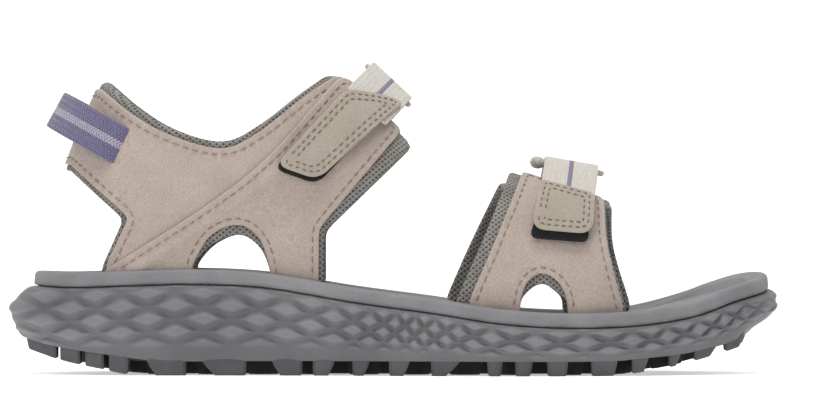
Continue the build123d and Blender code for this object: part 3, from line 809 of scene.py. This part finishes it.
def pillow_relief(x, z, joint):
    """Rows of rhombic pillows below the joint line. Each row is half a pitch on from the next, and the
    pitch and the row height change along the sole. A pillow rises by a smooth step from the edge, where
    |dx| + |dz| = 1 in shares of its half sizes, to its middle."""
    pitches = np.array([(-133, 18), (-100, 18), (-73, 19.4), (-53, 19.4), (-29, 17), (-22, 14.5),
                        (-9.5, 10.4), (-0.6, 7.4), (6, 6.2), (13, 7.4), (21, 9), (33, 14.2), (48, 16.6),
                        (60, 17), (75, 17), (89, 11.8), (101, 11), (115, 8), (134, 7)])
    xs = np.linspace(-140, 140, 1400)
    rate = 1 / np.interp(xs, pitches[:, 0], pitches[:, 1])
    phase_line = np.concatenate([[0], np.cumsum(0.5 * (rate[1:] + rate[:-1]) * np.diff(xs))])
    phase = np.interp(x, xs, phase_line)
    step = np.interp(x, [-133, -60, -20, 0, 60, 100, 133], [4.35, 4.4, 3.7, 3.1, 3.05, 2.8, 2.4])
    depth = joint - z
    row = depth / step - 0.72
    best = np.full(x.shape, 9.0)
    for k in (0, 1):
        index = np.floor(row) + k
        offset = 0.5 * np.mod(index, 2)
        dx = np.abs(phase - offset - np.round(phase - offset))
        best = np.minimum(best, np.sqrt((dx / 0.44) ** 2 + 0.004) + np.abs(row - index) / 0.74)
    pillow = smoothstep(1.06, 0.45, best)
    low_edge = np.interp(x, [-133, -60, -20, 40, 133], [21.0, 22.5, 17.5, 11.8, 9.5])
    fade = (1 - smoothstep(low_edge - 3.4, low_edge, depth)) * smoothstep(0.2, 1.4, depth)
    ends = (0.6 + 0.4 * smoothstep(-131, -122, x)) * (1 - 0.6 * smoothstep(112, 128, x))
    return pillow * fade * ends


plan, plan_normal = plan_outline(COLUMNS)
# the footbed's edge stands back from the outline, and most at the heel
edge_in = 2.5 + 3.8 * heel_curl(plan[:, 0]) + 0.2 * toe_curl(plan[:, 0])
PILLOW = 1.7          # height of a pillow
LUG_ROOT = 1.4        # how far a lug goes up into the sole above it


def outline_in(inset):
    """The sole's outline drawn in along its normals by an inset for each point."""
    return plan - plan_normal * inset[:, None]


def midsole_rings():
    """Midsole. Going down its wall, v from 0 to 1, the inset from the outline is
    top (1 - v)^2.7 + low v^3 less a sine bulge, and the pillows are added outwards. Above and below, it
    closes inwards onto the middle line. The third result keeps each point's pillow height."""
    joint, low = joint_height(plan), wall_low(plan)
    top_in = edge_in - 1.0
    heel, nose = heel_curl(plan[:, 0]), toe_curl(plan[:, 0])
    low_in = 1.3 + 1.6 * heel + 6.5 * nose
    rings = lid(outline_in(top_in + 3.0), LID_SHARES, joint_height, -0.5)
    plain = [np.full(COLUMNS, 0.5)] * len(LID_SHARES)
    tones = list(plain)
    for v in np.linspace(0, 1, 62):
        bulge = math.sin(math.pi * min(v / 0.9, 1.0)) ** 0.8
        inset = top_in * (1 - v) ** 2.7 + low_in * v ** 3
        inset = inset - (0.5 + 2.0 * heel) * bulge
        past_edge = np.clip(1 - v / (0.07 + 0.13 * nose), 0, 1)
        round_top = (1.3 + 1.5 * nose) * (1 - np.sqrt(1 - past_edge ** 2))
        z = joint - 0.35 - v * (joint - 0.35 - low)
        pillow = pillow_relief(plan[:, 0], z, joint)
        tones.append(pillow)
        inset = inset + round_top - PILLOW * pillow + 0.7 - 1.1 * (heel + nose)
        rings.append(np.column_stack([outline_in(inset), z]))
    rings += lid(outline_in(low_in + 3.0), LID_SHARES[::-1], wall_low)
    tone = np.concatenate(tones + plain)
    verts, faces = ring_stack(rings)
    return verts, faces, np.stack([tone, np.zeros(len(tone))], axis=1)


def footbed_rings():
    """Footbed: a round-edged rim that follows the rim line, then a shallow dish inside it with one engraved
    line round the toes."""
    joint = joint_height(plan)
    rings = lid(outline_in(edge_in + 1.6), LID_SHARES, joint_height, -0.3)
    # the rim's section: inset, and height above the joint for a rim of 3.8
    profile = np.array([(1.2, -0.1), (0.4, 0.1), (0.05, 0.4), (0.0, 0.9), (0.15, 2.6), (0.3, 3.1),
                        (0.7, 3.55), (1.4, 3.8), (2.4, 3.85), (3.4, 3.7), (4.3, 3.3), (5.4, 2.7),
                        (6.6, 2.35), (8.0, 2.2)])
    for inset, up in profile:
        rings.append(np.column_stack([outline_in(edge_in + inset), joint + up * RIM / 3.8]))
    inner = outline_in(edge_in + profile[-1, 0])
    for share in np.linspace(0.985, 0.0, 66):
        flat = shrink(inner, share)
        height = rim_height(flat[:, 0]) + medial_rise(*flat.T) - 2.0 - 0.5 * (1 - share)
        rings.append(np.column_stack([flat, height + toe_groove(flat)]))
    return ring_stack(rings)


toe_line = catmull([(100.0, -27.0), (107.5, -21.0), (113.5, -12.5), (117.0, -3.0), (118.0, 7.0),
                    (114.5, 17.0), (108.0, 23.5), (101.0, 26.0)], 120)


def toe_groove(flat):
    """A narrow engraved line set in from the edge round the toes: -0.55 exp(-(gap / 0.7)^2)."""
    near = flat[:, 0] > 75
    depth = np.zeros(len(flat))
    gap = np.sqrt(((flat[near][:, None] - toe_line[None]) ** 2).sum(2)).min(1)
    depth[near] = -0.55 * np.exp(-(gap / 0.7) ** 2)
    return depth


def slab_rings():
    """Outsole base: a thin skin under the midsole that turns up at heel and toe."""
    def upper(flat):
        return slab_top(flat[:, 0]) + 0.4

    def lower(flat):
        return np.minimum(tread_height(flat[:, 0]) + LUG + 0.3, slab_top(flat[:, 0]) - 0.8)

    top, low = upper(plan), lower(plan)
    side_in = 4.2 + 1.6 * heel_curl(plan[:, 0]) + 5.5 * toe_curl(plan[:, 0])
    rings = lid(outline_in(side_in + 0.6), LID_SHARES, upper)
    for inset, part in ((0.6, 0.0), (0.15, 0.05), (0.0, 0.25), (0.0, 0.75), (0.2, 0.93), (0.9, 1.0)):
        rings.append(np.column_stack([outline_in(side_in + inset), top + (low - top) * part]))
    rings += lid(outline_in(side_in + 0.9), LID_SHARES[::-1], lower)
    return ring_stack(rings)


def edge_y(x, side, inset):
    """Y of the outline at x, on the outer (-1) or inner (1) side, drawn in by an inset."""
    end = HALF_LENGTH - 1.5 - inset
    x = np.clip(np.asarray(x, float), -end, end)
    moved = plan - plan_normal * inset
    pick = (moved[:, 1] - middle_line(moved[:, 0])) * side > 0
    order = np.argsort(moved[pick][:, 0])
    return np.interp(x, moved[pick][order, 0], moved[pick][order, 1])


# lugs along the edges: start and end at the ground, and how far the rear and front faces slope out
edge_lug_spans = [(-128.4, -118.0, 1.0, 0), (-116.6, -109.6, 0, 0), (-107.6, -101.1, 0, 0),
                  (-99.2, -93.0, 0, 0.5), (-83.2, -72.8, 3.4, 0), (-62.8, -52.1, 5.0, 0.3),
                  (-40.3, -32.7, 3.2, 0.3), (-28.7, -23.3, 0.2, 2.4), (-15.0, -11.1, 0.3, 2.3),
                  (-2.4, 2.6, 0.3, 2.4), (12.1, 17.3, 0.3, 5.3), (31.6, 35.8, 0.5, 0.8),
                  (41.0, 45.8, 0.3, 1.2), (52.1, 58.3, 0.4, 0.8), (67.3, 74.9, 0.4, 1.4),
                  (81.3, 85.3, 0.3, 2.0), (94.3, 96.6, 0.4, 2.3), (103.2, 108.8, 0.4, 4.0),
                  (114.3, 119.3, 0.4, 2.4)]


def lug_block(x0, x1, rear, front, y_low, y_high, chamfer=0.9):
    """One lug: an eight-cornered block, wider at its root than at the ground, with its lower edge broken.
    y_low and y_high give its two sides at any x."""
    def ring(a, b, cut, z_extra, pull):
        c = min(cut, (b - a) * 0.35)
        xs = np.array([a + c, b - c, b, b, b - c, a + c, a, a])
        sel = np.array([0, 0, 1, 2, 3, 3, 2, 1])
        low, high = y_low(xs) + pull, y_high(xs) - pull
        span = np.stack([low, low + c, high - c, high], axis=1)
        return np.column_stack([xs, span[np.arange(8), sel], tread_height(xs) + z_extra])

    rings = [ring(x0 + 0.3, x1 - 0.3, chamfer, 0.0, 0.5), ring(x0, x1, chamfer, 0.4, 0.0),
             ring(x0 - rear * 0.5, x1 + front * 0.5, chamfer, 2.8, -0.2),
             ring(x0 - rear, x1 + front, chamfer, LUG + LUG_ROOT, -0.5)]
    k = np.arange(8)
    return (np.vstack(rings), [grid_faces(4, 8, wrap=True), k[::-1][None], (k + 24)[None]])


CORE_PITCH = 17.5     # spacing of the lugs under the middle of the sole


def edge_at(side, inset):
    """A lug's side that follows the outline at an inset."""
    def y(x):
        return edge_y(x, side, inset)
    return y


def level(value):
    """A lug's side that runs straight along the sole."""
    def y(x):
        return np.full(np.shape(x), value)
    return y


def all_lugs():
    """Every lug: a row along each edge, and staggered rows of shorter blocks between them."""
    blocks, core = [], []
    for x0, x1, rear, front in edge_lug_spans:
        edge = 3.6 if x0 < -100 else 2.4
        reach = 17.0 if x0 > -90 else 21.0
        blocks.append(lug_block(x0, x1, rear, front, edge_at(-1, edge), edge_at(-1, reach)))
        shift = 2.5 * math.sin(x0)
        if x0 + shift > -120 and x1 + shift < 122:
            blocks.append(lug_block(x0 + shift, x1 + shift, rear, front, edge_at(1, reach), edge_at(1, edge)))
    for row, shift in ((-1, 0.0), (0, CORE_PITCH / 2), (1, 0.0)):
        for x in np.arange(-104 + shift, 108, CORE_PITCH):
            wide = (edge_y(x, 1, 19.5) - edge_y(x, -1, 19.5)) / 3.0
            centre = middle_line(x) + row * wide
            half = wide / 2 - 1.6
            if half < 2.5:
                continue
            core.append(lug_block(x, x + 10.5, 1.2, 1.2, level(centre - half), level(centre + half), 2.6))
    return join(*blocks), join(*core)


verts, faces, tone = midsole_rings()
welded(make_piece("midsole_wall", verts, faces, ROOT, "midsole_foam", foam, uv=tone, hides=["midsole"]))
verts, faces = footbed_rings()
welded(make_piece("footbed_top", verts, faces, ROOT, "footbed_foam", bed, hides=["footbed"]))
verts, faces = slab_rings()
# the slab and the inner lugs take the darker rubber: painted shade for the gaps under the sole
welded(make_piece("outsole_base", verts, faces, ROOT, "outsole_rubber", shaded_rubber, hides=["outsole"]))
edge_lugs, core_lugs = all_lugs()
make_piece("outsole_edge_lugs", *edge_lugs[:2], ROOT, "outsole_rubber", rubber, smooth=False)
make_piece("outsole_core_lugs", *core_lugs[:2], ROOT, "outsole_rubber", shaded_rubber, smooth=False)


# ---------------------------------------------------------------- uppers
def side_outline(form, runs, mirrored=False):
    """Closed pattern outline from runs of side points: a 'curve' run is smooth, a 'line' run is straight.
    It is unrolled, carried round the heel to the other side if mirrored, and its corners are softened by
    averaging each point with its neighbours a few times."""
    parts = []
    for kind, points in runs:
        points = np.array(points, float)
        length = np.linalg.norm(np.diff(points, axis=0), axis=1).sum()
        count = max(int(length / 0.8), 2)
        parts.append(catmull(points, count) if kind == "curve" else resample(points, count))
    flat = form.unroll(np.vstack(parts))
    if mirrored:
        other = np.stack([2 * form.back_line(flat[:, 1]) - flat[:, 0], flat[:, 1]], axis=1)[::-1]
        flat = np.vstack([flat, other])
    outline = resample(np.vstack([flat, flat[:1]]), int(max(len(flat), 100)))[:-1]
    for _ in range(7):
        outline = 0.5 * outline + 0.25 * (np.roll(outline, 1, axis=0) + np.roll(outline, -1, axis=0))
    keep = np.linalg.norm(outline - np.roll(outline, 1, axis=0), axis=1) > 0.05
    return outline[keep]


def rear_upper_edge(roll):
    """The collar's dip from heel to instep, moved out by the width of the lining's rolled edge."""
    return [(-103.0, 99.3 + roll), (-92.3, 90.9 + roll), (-78.8, 83.3 + roll), (-60.4, 78.4 + roll),
            (-47.2, 84.3 + roll), (-33.4, 95.1 + roll), (-21.3 - roll, 103.8 + roll * 0.4)]


REAR_ROOT = 32.4      # how low the rear leg goes into the footbed
FRONT_ROOT = 28.4     # and the front leg
BACK = -135.0         # past the middle of the heel's back
lining_outline = side_outline(rear, [
    ("line", [(BACK, 101.7), (-103.0, 101.7)]), ("curve", rear_upper_edge(2.4)),
    ("line", [(-23.7, 104.8), (-17.5, 104.4), (6.5, 80.2), (-25.0, 49.6), (-25.0, FRONT_ROOT),
              (-43.5, FRONT_ROOT + 3.0), (-43.5, 35.5)]),
    ("curve", [(-43.5, 35.5), (-46.8, 43.6), (-54.0, 48.6), (-64.0, 45.1), (-70.5, 38.0)]),
    ("line", [(-70.5, 38.0), (-70.5, REAR_ROOT), (-102.6, REAR_ROOT), (-102.6, 37.3), (-95.0, 53.8),
              (-115.2, 70.6), (BACK, 71.2)])], mirrored=True)
heel_outline = side_outline(rear, [
    ("line", [(BACK, 99.3), (-103.0, 99.3)]), ("curve", rear_upper_edge(0.0)),
    ("line", [(-21.3, 103.8), (-16.5, 100.5), (-38.0, 72.5), (-60.0, 54.5), (-91.0, 36.0),
              (-92.0, REAR_ROOT), (-100.5, REAR_ROOT), (-100.5, 38.0), (-92.5, 54.5), (-113.5, 73.0),
              (BACK, 73.4)])], mirrored=True)
instep_outline = side_outline(rear, [
    ("line", [(-101.0, 36.0)]), ("curve", [(-101.0, 36.0), (-66.0, 58.4), (-44.0, 75.9), (-20.5, 102.5)]),
    ("line", [(-20.5, 102.5), (-17.5, 102.0), (1.9, 84.8), (-26.8, 50.5), (-26.8, FRONT_ROOT),
              (-43.5, FRONT_ROOT + 3.0), (-43.5, 35.5)]),
    ("curve", [(-43.5, 35.5), (-46.8, 46.5), (-54.0, 52.0), (-64.0, 48.5), (-70.5, 38.0)]),
    ("line", [(-70.5, 38.0), (-70.5, REAR_ROOT), (-100.5, REAR_ROOT), (-101.0, 36.0)])])
diagonal = rear.unroll(catmull([(-104.0, 34.5), (-66.0, 58.4), (-44.0, 75.9), (-18.5, 104.8)], 80))


def seam_lift(pattern):
    """The instep panel steps up where it laps over the heel panel along the diagonal."""
    gap = np.sqrt(((pattern[:, None] - diagonal[None]) ** 2).sum(2)).min(1)
    return 1.25 * (1 - smoothstep(5.5, 8.5, gap))


def seam_dip(outline, inset, depth=0.28):
    """Relief of a stitched panel: a shallow furrow at the stitch row and the faintest swell inside it."""
    def relief(pattern):
        gap, _ = signed_distance(pattern, outline)
        return -depth * np.exp(-((gap - inset) / 0.7) ** 2) + 0.16 * smoothstep(inset + 0.5, inset + 6, gap)
    return relief


LINING = 3.15
SUEDE_OUT = 3.25      # where the suede begins, out from the foot


def lining_panel(name, form, side, outline, hides):
    """A padded mesh lining, next to the foot."""
    place, faces, pattern = sheet(outline, form.surface(side), 0.0, LINING, side > 0)
    piece = make_piece(name, place, faces, ROOT, "lining_mesh", knit, uv=pattern, hides=hides)


def suede_panel(name, form, side, outline, thickness, hides, seam, keep, lift=None):
    """A suede panel over the lining, with the row of stitches round its edge as a second piece."""
    surface = form.surface(side)
    place, faces, pattern = sheet(outline, surface, SUEDE_OUT, thickness, side > 0,
                                  relief=seam_dip(outline, seam), lift=lift)
    make_piece(name, place, faces, ROOT, "upper_suede", suede, uv=pattern, hides=hides)

    def raised(flat, height):
        return surface(flat, height if lift is None else height + lift(flat))

    row = stitch_row(inset_line(outline, seam), raised, SUEDE_OUT + thickness - 0.2, keep=keep)
    make_piece(name + "_stitching", *row, ROOT, "upper_suede", thread)


def above_rim(pattern):
    """Which stitches of the rear upper stand clear of the sole."""
    return pattern[:, 1] > rim_height(pattern[:, 0]) + 0.6


def above_front_rim(pattern):
    """Which stitches of the forefoot upper stand clear of the sole."""
    return pattern[:, 1] > rim_height(pattern[:, 0]) + 1.2


def heel_keep(pattern):
    """The heel panel's stitches stop at the sole and where the instep panel laps over it."""
    back = rear.back_line(pattern[:, 1])
    folded = np.where(pattern[:, 0] < back, 2 * back - pattern[:, 0], pattern[:, 0])
    flat = np.stack([folded, pattern[:, 1]], axis=1)
    inside, _ = signed_distance(flat, instep_outline)
    return above_rim(flat) & (inside < -0.5)


lining_panel("rear_lining", rear, -1, lining_outline,
             ["rear_lining_lateral", "rear_lining_medial", "collar_foam_lateral", "collar_foam_medial"])
suede_panel("heel_suede", rear, -1, heel_outline, 1.2,
            ["heel_counter", "heel_panel_lateral", "heel_panel_medial"], 2.3, heel_keep)
for word, side in (("lateral", -1), ("medial", 1)):
    suede_panel("instep_suede_" + word, rear, side, instep_outline, 1.35, ["instep_panel_" + word],
                2.2, above_rim, lift=chunked(seam_lift))

FORE_ROOT = 19.6      # how low the forefoot's legs go into the footbed


def fore_runs(back, arch, front, drop):
    """Runs of a forefoot panel: its edges moved back, into the arch and forward, its top dropped."""
    rear_foot, crown = (25.0 - back, 26.0), (43.8 - back, 70.2 - drop)
    brow, front_foot = (71.8 + front, 61.2 - drop * 0.3), (78.3 + front, 23.5)
    arch_front, arch_rear = (58.8, 26.0), (42.6, 26.0)
    return [("curve", [rear_foot, (34.0 - back, 46.7), crown]),
            ("line", [crown, brow]),
            ("curve", [brow, (72.3 + front, 47.0), (74.8 + front, 35.5), front_foot]),
            ("line", [front_foot, (front_foot[0], FORE_ROOT), (arch_front[0], FORE_ROOT), arch_front]),
            ("curve", [arch_front, (56.0, 32.0 - arch), (50.1, 35.6 - arch), (45.0, 32.5 - arch), arch_rear]),
            ("line", [arch_rear, (arch_rear[0], FORE_ROOT), (rear_foot[0], FORE_ROOT), rear_foot])]


# the inner panel is longer and lower than the outer one
for word, side, behind, ahead, drop in (("lateral", -1, 0.0, 0.0, 0.0), ("medial", 1, 3.0, 3.6, 3.4)):
    suede_outline = side_outline(fore, fore_runs(behind, 0, ahead, drop))
    mesh_outline = side_outline(fore, fore_runs(4.4 + behind, 3.6, 0.8 + ahead, drop - 1.4))
    lining_panel("forefoot_lining_piece_" + word, fore, side, mesh_outline,
                 ["forefoot_lining_" + word, "forefoot_foam_" + word])
    suede_panel("forefoot_suede_" + word, fore, side, suede_outline, 1.4, ["forefoot_panel_" + word],
                2.2, above_front_rim)


# ---------------------------------------------------------------- closures
BAR_Y = -2.0          # the ring's outer bar, across the foot
FAR_Y = 9.4           # its other bar
BAR_U = -(WEBBING + GAP + BAR / 2)
BASE = UPPER + SEWN_GAP
UPPER_RUN = BASE + WEBBING + GAP
HALF_WEB = WEBBING / 2
FOLD = BAR / 2 + GAP + HALF_WEB
TAB_OUT = UPPER_RUN + WEBBING + 0.1
TAB_SEAMS = (1.7, 3.5)


def tab_relief(outline):
    """Furrows under a tab's two stitch rows and a slight pillow inside them."""
    def relief(pattern):
        gap, _ = signed_distance(pattern, outline)
        furrows = sum(-0.22 * np.exp(-((gap - seam) / 0.5) ** 2) for seam in TAB_SEAMS)
        return furrows + 0.25 * smoothstep(3.9, 7.5, gap)
    return relief


def closure(name, form, web_width, tab_corners, hook_corners, loop_corners, panel_end, tab_high):
    """One strap closure. The webbing rises from the outer panel, turns round the ring's outer bar and comes
    back down over itself to the tab; a keeper on the inner panel holds the ring's other bar."""
    closure_webbing(name, form, web_width, tab_high)
    closure_tab(name, form, tab_corners, hook_corners, loop_corners)
    closure_ring(name, form, web_width)
    closure_keeper(name, form, web_width, panel_end)


def closure_webbing(name, form, web_width, tab_high):
    """The webbing: a lower run, sewn down, and an upper run that folds round the bar and leads to the tab."""
    under = arch_path(form, BASE + HALF_WEB, tab_high - 4.0, BAR_Y - 0.3, 70)
    v, f, uv = strap_band(form, under, web_width - 0.4)
    root = make_piece(name + "_strap_under", v, f, None, "strap_webbing", cream, uv=uv,
                      hides=[name + "_strap_root"])
    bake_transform(root)

    turn = np.linspace(-math.pi / 2, math.pi / 2, 18)
    fold = np.stack([BAR_Y + FOLD * np.cos(turn), BAR_U + FOLD * np.sin(turn)], axis=1)
    join_y = -form.half * JOIN_SHARE
    run = arch_path(form, UPPER_RUN + HALF_WEB, tab_high - 5.5, join_y, 60)
    slope = unit(run[-1] - run[-2])
    reach = abs(join_y - BAR_Y)
    crown = hermite(run[-1], (BAR_Y - 0.3, -HALF_WEB), slope * reach, (reach, 0.0), 30)
    path = resample(np.vstack([run, crown[1:], fold[::-1]]), 150)
    v, f, uv = strap_band(form, path, web_width)
    top = make_piece(name + "_strap_webbing_band", v, f, None, "strap_webbing", cream, uv=uv,
                     hides=[name + "_strap_webbing", name + "_strap_fold"])
    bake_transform(top)


def closure_tab(name, form, tab_corners, hook_corners, loop_corners):
    """The suede tab with its two rows of stitches, the hook tape under it and the loop tape on the panel."""
    surface, strap_body = form.surface(-1), name + "_strap"
    outline = pattern_outline(form, tab_corners, 8.5)
    place, faces, pattern = sheet(outline, surface, TAB_OUT, 1.5, spacing=0.7,
                                  relief=chunked(tab_relief(outline)))
    make_piece(name + "_tab_cover", place, faces, strap_body, "tab_suede", nubuck, uv=pattern,
               hides=[name + "_tab"])
    rows = [stitch_row(inset_line(outline, seam), surface, TAB_OUT + 1.32, length=1.7, gap=0.75, radius=0.27)
            for seam in TAB_SEAMS]
    v, f, _ = join(*rows)
    make_piece(name + "_tab_stitching", v, f, strap_body, "tab_suede", tab_thread)

    hook = pattern_outline(form, hook_corners, 7.5)
    place, faces, pattern = sheet(hook, surface, UPPER_RUN - 0.1, 1.15, spacing=0.7)
    make_piece(name + "_hook_tape", place, faces, strap_body, "hook_tape", hooks, uv=pattern,
               hides=[name + "_hook_patch"])
    loop = pattern_outline(form, [(*corner, 2.0) for corner in loop_corners], 5.5)
    place, faces, pattern = sheet(loop, surface, BASE - 0.3, 1.2, spacing=0.8)
    make_piece(name + "_loop_tape", place, faces, ROOT, "loop_tape", loops, uv=pattern,
               hides=[name + "_loop_patch"])


def closure_ring(name, form, web_width):
    """The ring: a round bar carried round a rectangle with round corners. Its sides are swollen where it is
    the wide ring of the forefoot, on the heel's side only, and are slimmer elsewhere."""
    wide = form is fore
    half = web_width / 2 + (0.6 + BAR / 2 if wide else 0.7)
    corners = [(BAR_Y, -half, 2.6), (FAR_Y, -half, 2.6), (FAR_Y, half, 2.6), (BAR_Y, half, 2.6)]
    line = rounded(corners, 12)
    stations, around = 120, 16
    line = resample(np.vstack([line, line[:1]]), stations + 1)[:-1]
    centre = strap_place(form, line[:, 0], np.full(stations, BAR_U), line[:, 1])
    ahead = unit(np.roll(centre, -1, axis=0) - np.roll(centre, 1, axis=0))
    up3 = np.broadcast_to(np.array([form.up[0], 0.0, form.up[1]]), centre.shape)[:, None]
    out3 = unit(np.cross(ahead, up3[:, 0]))[:, None]
    turn = (np.arange(around) / around * 2 * math.pi)[None, :, None]
    swell = np.where(line[:, 1] < 0, 2.4 if wide else SLIM, SLIM)
    swell = (swell * smoothstep(half - 2.2, half - 1.2, np.abs(line[:, 1])))[:, None, None]
    away = np.sign(line[:, 1])[:, None, None] * np.array([form.across[0], 0.0, form.across[1]])
    bar = centre[:, None] + (BAR / 2 + 0.38 * swell) * (out3 * np.cos(turn) + up3 * np.sin(turn))
    bar = bar + away * swell * (0.35 + 0.65 * np.maximum(np.cos(turn), 0))
    k = np.arange(stations)[:, None]
    c = np.arange(around)[None]
    k_next, c_next = (k + 1) % stations, (c + 1) % around
    quads = np.stack([k * around + c, k * around + c_next,
                      k_next * around + c_next, k_next * around + c], axis=-1)
    make_piece(name + "_ring_bar", bar.reshape(-1, 3), [quads.reshape(-1, 4)], name + "_ring", "ring_plastic",
               nylon, hides=[name + "_ring"])


def closure_keeper(name, form, web_width, panel_end):
    """The keeper: webbing that goes up the inner panel, round the far bar and back down under itself."""
    low, join_y = panel_end - 12.0, form.half * JOIN_SHARE
    mirror = np.array([-1.0, 1.0])
    outer_leg = arch_path(form, BASE + 1.5 * WEBBING, low, -join_y, 40) * mirror
    inner_leg = arch_path(form, BASE + HALF_WEB, low, -join_y, 40) * mirror
    span = join_y - FAR_Y
    over = hermite(outer_leg[-1], (FAR_Y, BAR_U + FOLD), unit(outer_leg[-1] - outer_leg[-2]) * span,
                   (-span, 0.0), 16)
    back = hermite(inner_leg[-1], (FAR_Y, BAR_U - FOLD), unit(inner_leg[-1] - inner_leg[-2]) * span,
                   (-span, 0.5), 16)[::-1]
    turn = np.linspace(math.pi / 2, -math.pi / 2, 18)
    round_bar = np.stack([FAR_Y - FOLD * np.cos(turn), BAR_U + FOLD * np.sin(turn)], axis=1)
    path = resample(np.vstack([outer_leg, over[1:], round_bar[1:-1], back, inner_leg[::-1][1:]]), 170)
    v, f, uv = strap_band(form, path, web_width - 0.2)
    make_piece(name + "_keeper_band", v, f, ROOT, "strap_webbing", cream, uv=uv,
               hides=[name + "_ring_keeper"])


JOIN_SHARE = 0.62     # where the webbing leaves the arch, as a share of the half width
SLIM = -0.6           # swelling of a ring's side that hides beside the webbing
closure("instep", rear, 18.5,
        tab_corners=[(-41.7, 72.6, 4.5), (-27.2, 67.5, 4.5), (2.6, 94.2, 2.0), (-17.6, 98.8, 2.5)],
        hook_corners=[(-42.4, 71.2, 4.0), (-27.4, 65.9, 4.0), (-12.0, 82.0, 2.0), (-24.0, 92.0, 2.0)],
        loop_corners=[(-38.5, 75.5), (-30.5, 71.0), (-13.0, 86.0), (-22.0, 93.0)],
        panel_end=-12.5, tab_high=-8.0)
closure("forefoot", fore, 19.0,
        tab_corners=[(46.3, 50.6, 5.0), (67.4, 48.8, 5.0), (68.4, 62.7, 2.0), (50.0, 67.6, 2.0)],
        hook_corners=[(45.6, 47.6, 3.0), (66.2, 46.0, 3.0), (66.0, 58.0, 2.0), (50.4, 62.0, 2.0)],
        loop_corners=[(48.6, 49.4), (65.0, 48.0), (65.5, 58.0), (51.2, 61.5)],
        panel_end=-10.0, tab_high=-12.0)

# ---------------------------------------------------------------- heel pull
# the loop lies in a plane that rises towards the back: a half ellipse from seam to seam, its ends going
# forward under the suede
PULL_SEAM = np.array([-98.6, 1.75, 81.0])
PULL_BACK = np.array([-0.876, 0.0, 0.482])
PULL_UP = np.array([0.482, 0.0, 0.876])
PULL_HALF, PULL_REACH, PULL_START = 31.5, 44.6, -21.6
turn = np.linspace(0.50, math.pi - 0.50, 140)
loop = np.stack([PULL_HALF * np.cos(turn), PULL_START + PULL_REACH * np.sin(turn)], axis=1)
ends = np.array([[loop[0, 0] - 2.0, loop[0, 1] - 5.0], [loop[0, 0] - 0.6, loop[0, 1] - 2.5]])
loop = resample(catmull(np.vstack([ends, loop[::6], (ends * [-1, 1])[::-1]]), 200), 180)
path = PULL_SEAM + loop[:, :1] * np.array([0.0, 1.0, 0.0]) + loop[:, 1:] * PULL_BACK
ahead = unit(np.gradient(path, axis=0))
out3 = unit(np.cross(ahead, np.broadcast_to(PULL_UP, ahead.shape)))
v, f, uv = sweep(path, out3, np.broadcast_to(PULL_UP, path.shape), band_section(13.5, 1.5))
pull = make_piece("heel_pull_band", v, f, None, "pull_webbing", lilac, uv=uv, hides=["heel_pull_loop"])
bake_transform(pull)

# ---------------------------------------------------------------- floor, light, camera
def stage_plane(name, corners, shade, glow):
    """A flat white piece of the studio, which shines a little itself. All in metres."""
    mesh = bpy.data.meshes.new(name)
    mesh.from_pydata(corners, [], [(0, 1, 2, 3)])
    plane = bpy.data.objects.new(name, mesh)
    bpy.context.scene.collection.objects.link(plane)
    f = Finish(name + "_finish", rough=0.9, specular=0.1)
    f.set(f.shader, {"Base Color": (shade, shade, shade, 1), "Emission Color": (1, 1, 1, 1),
                     "Emission Strength": glow})
    mesh.materials.append(f.material)


# the backdrop stands far off, so that it is behind a camera on that side too
stage_plane("studio_floor", [(-3, -3, 0), (3, -3, 0), (3, 3, 0), (-3, 3, 0)], 0.92, 0.50)
stage_plane("studio_backdrop", [(-19, 10, -0.4), (19, 10, -0.4), (19, 10, 19), (-19, 10, 19)], 0.9, 1.1)

world = bpy.data.worlds.new("studio")
bpy.context.scene.world = world
world.use_nodes = True
world.node_tree.nodes["Background"].inputs["Color"].default_value = (1, 1, 1, 1)
world.node_tree.nodes["Background"].inputs["Strength"].default_value = 0.30


def area_light(name, place, target, size, power):
    """A soft light at a place, turned to its target."""
    light = bpy.data.lights.new(name, "AREA")
    light.shape = "RECTANGLE"
    light.size, light.size_y = size
    light.energy = power
    lamp = bpy.data.objects.new(name, light)
    lamp.location = place
    way = mathutils.Vector(target) - mathutils.Vector(place)
    lamp.rotation_euler = way.to_track_quat("-Z", "Y").to_euler()
    bpy.context.scene.collection.objects.link(lamp)


area_light("top_softbox", (0.0, -0.20, 1.0), (0, 0, 0.03), (0.9, 0.45), 8.5)
area_light("front_softbox", (-0.5, -1.2, 0.7), (0, 0, 0.05), (0.8, 0.5), 4.5)

camera = bpy.data.cameras.new("camera")
camera.sensor_width = 36.0
camera.lens = 302.5
camera.clip_end = 20
view = bpy.data.objects.new("camera", camera)
view.location = (0.00415, -2.4, 0.0583)
view.rotation_euler = (math.pi / 2, 0, 0)
bpy.context.scene.collection.objects.link(view)
bpy.context.scene.camera = view
bpy.context.scene.view_settings.view_transform = "Standard"
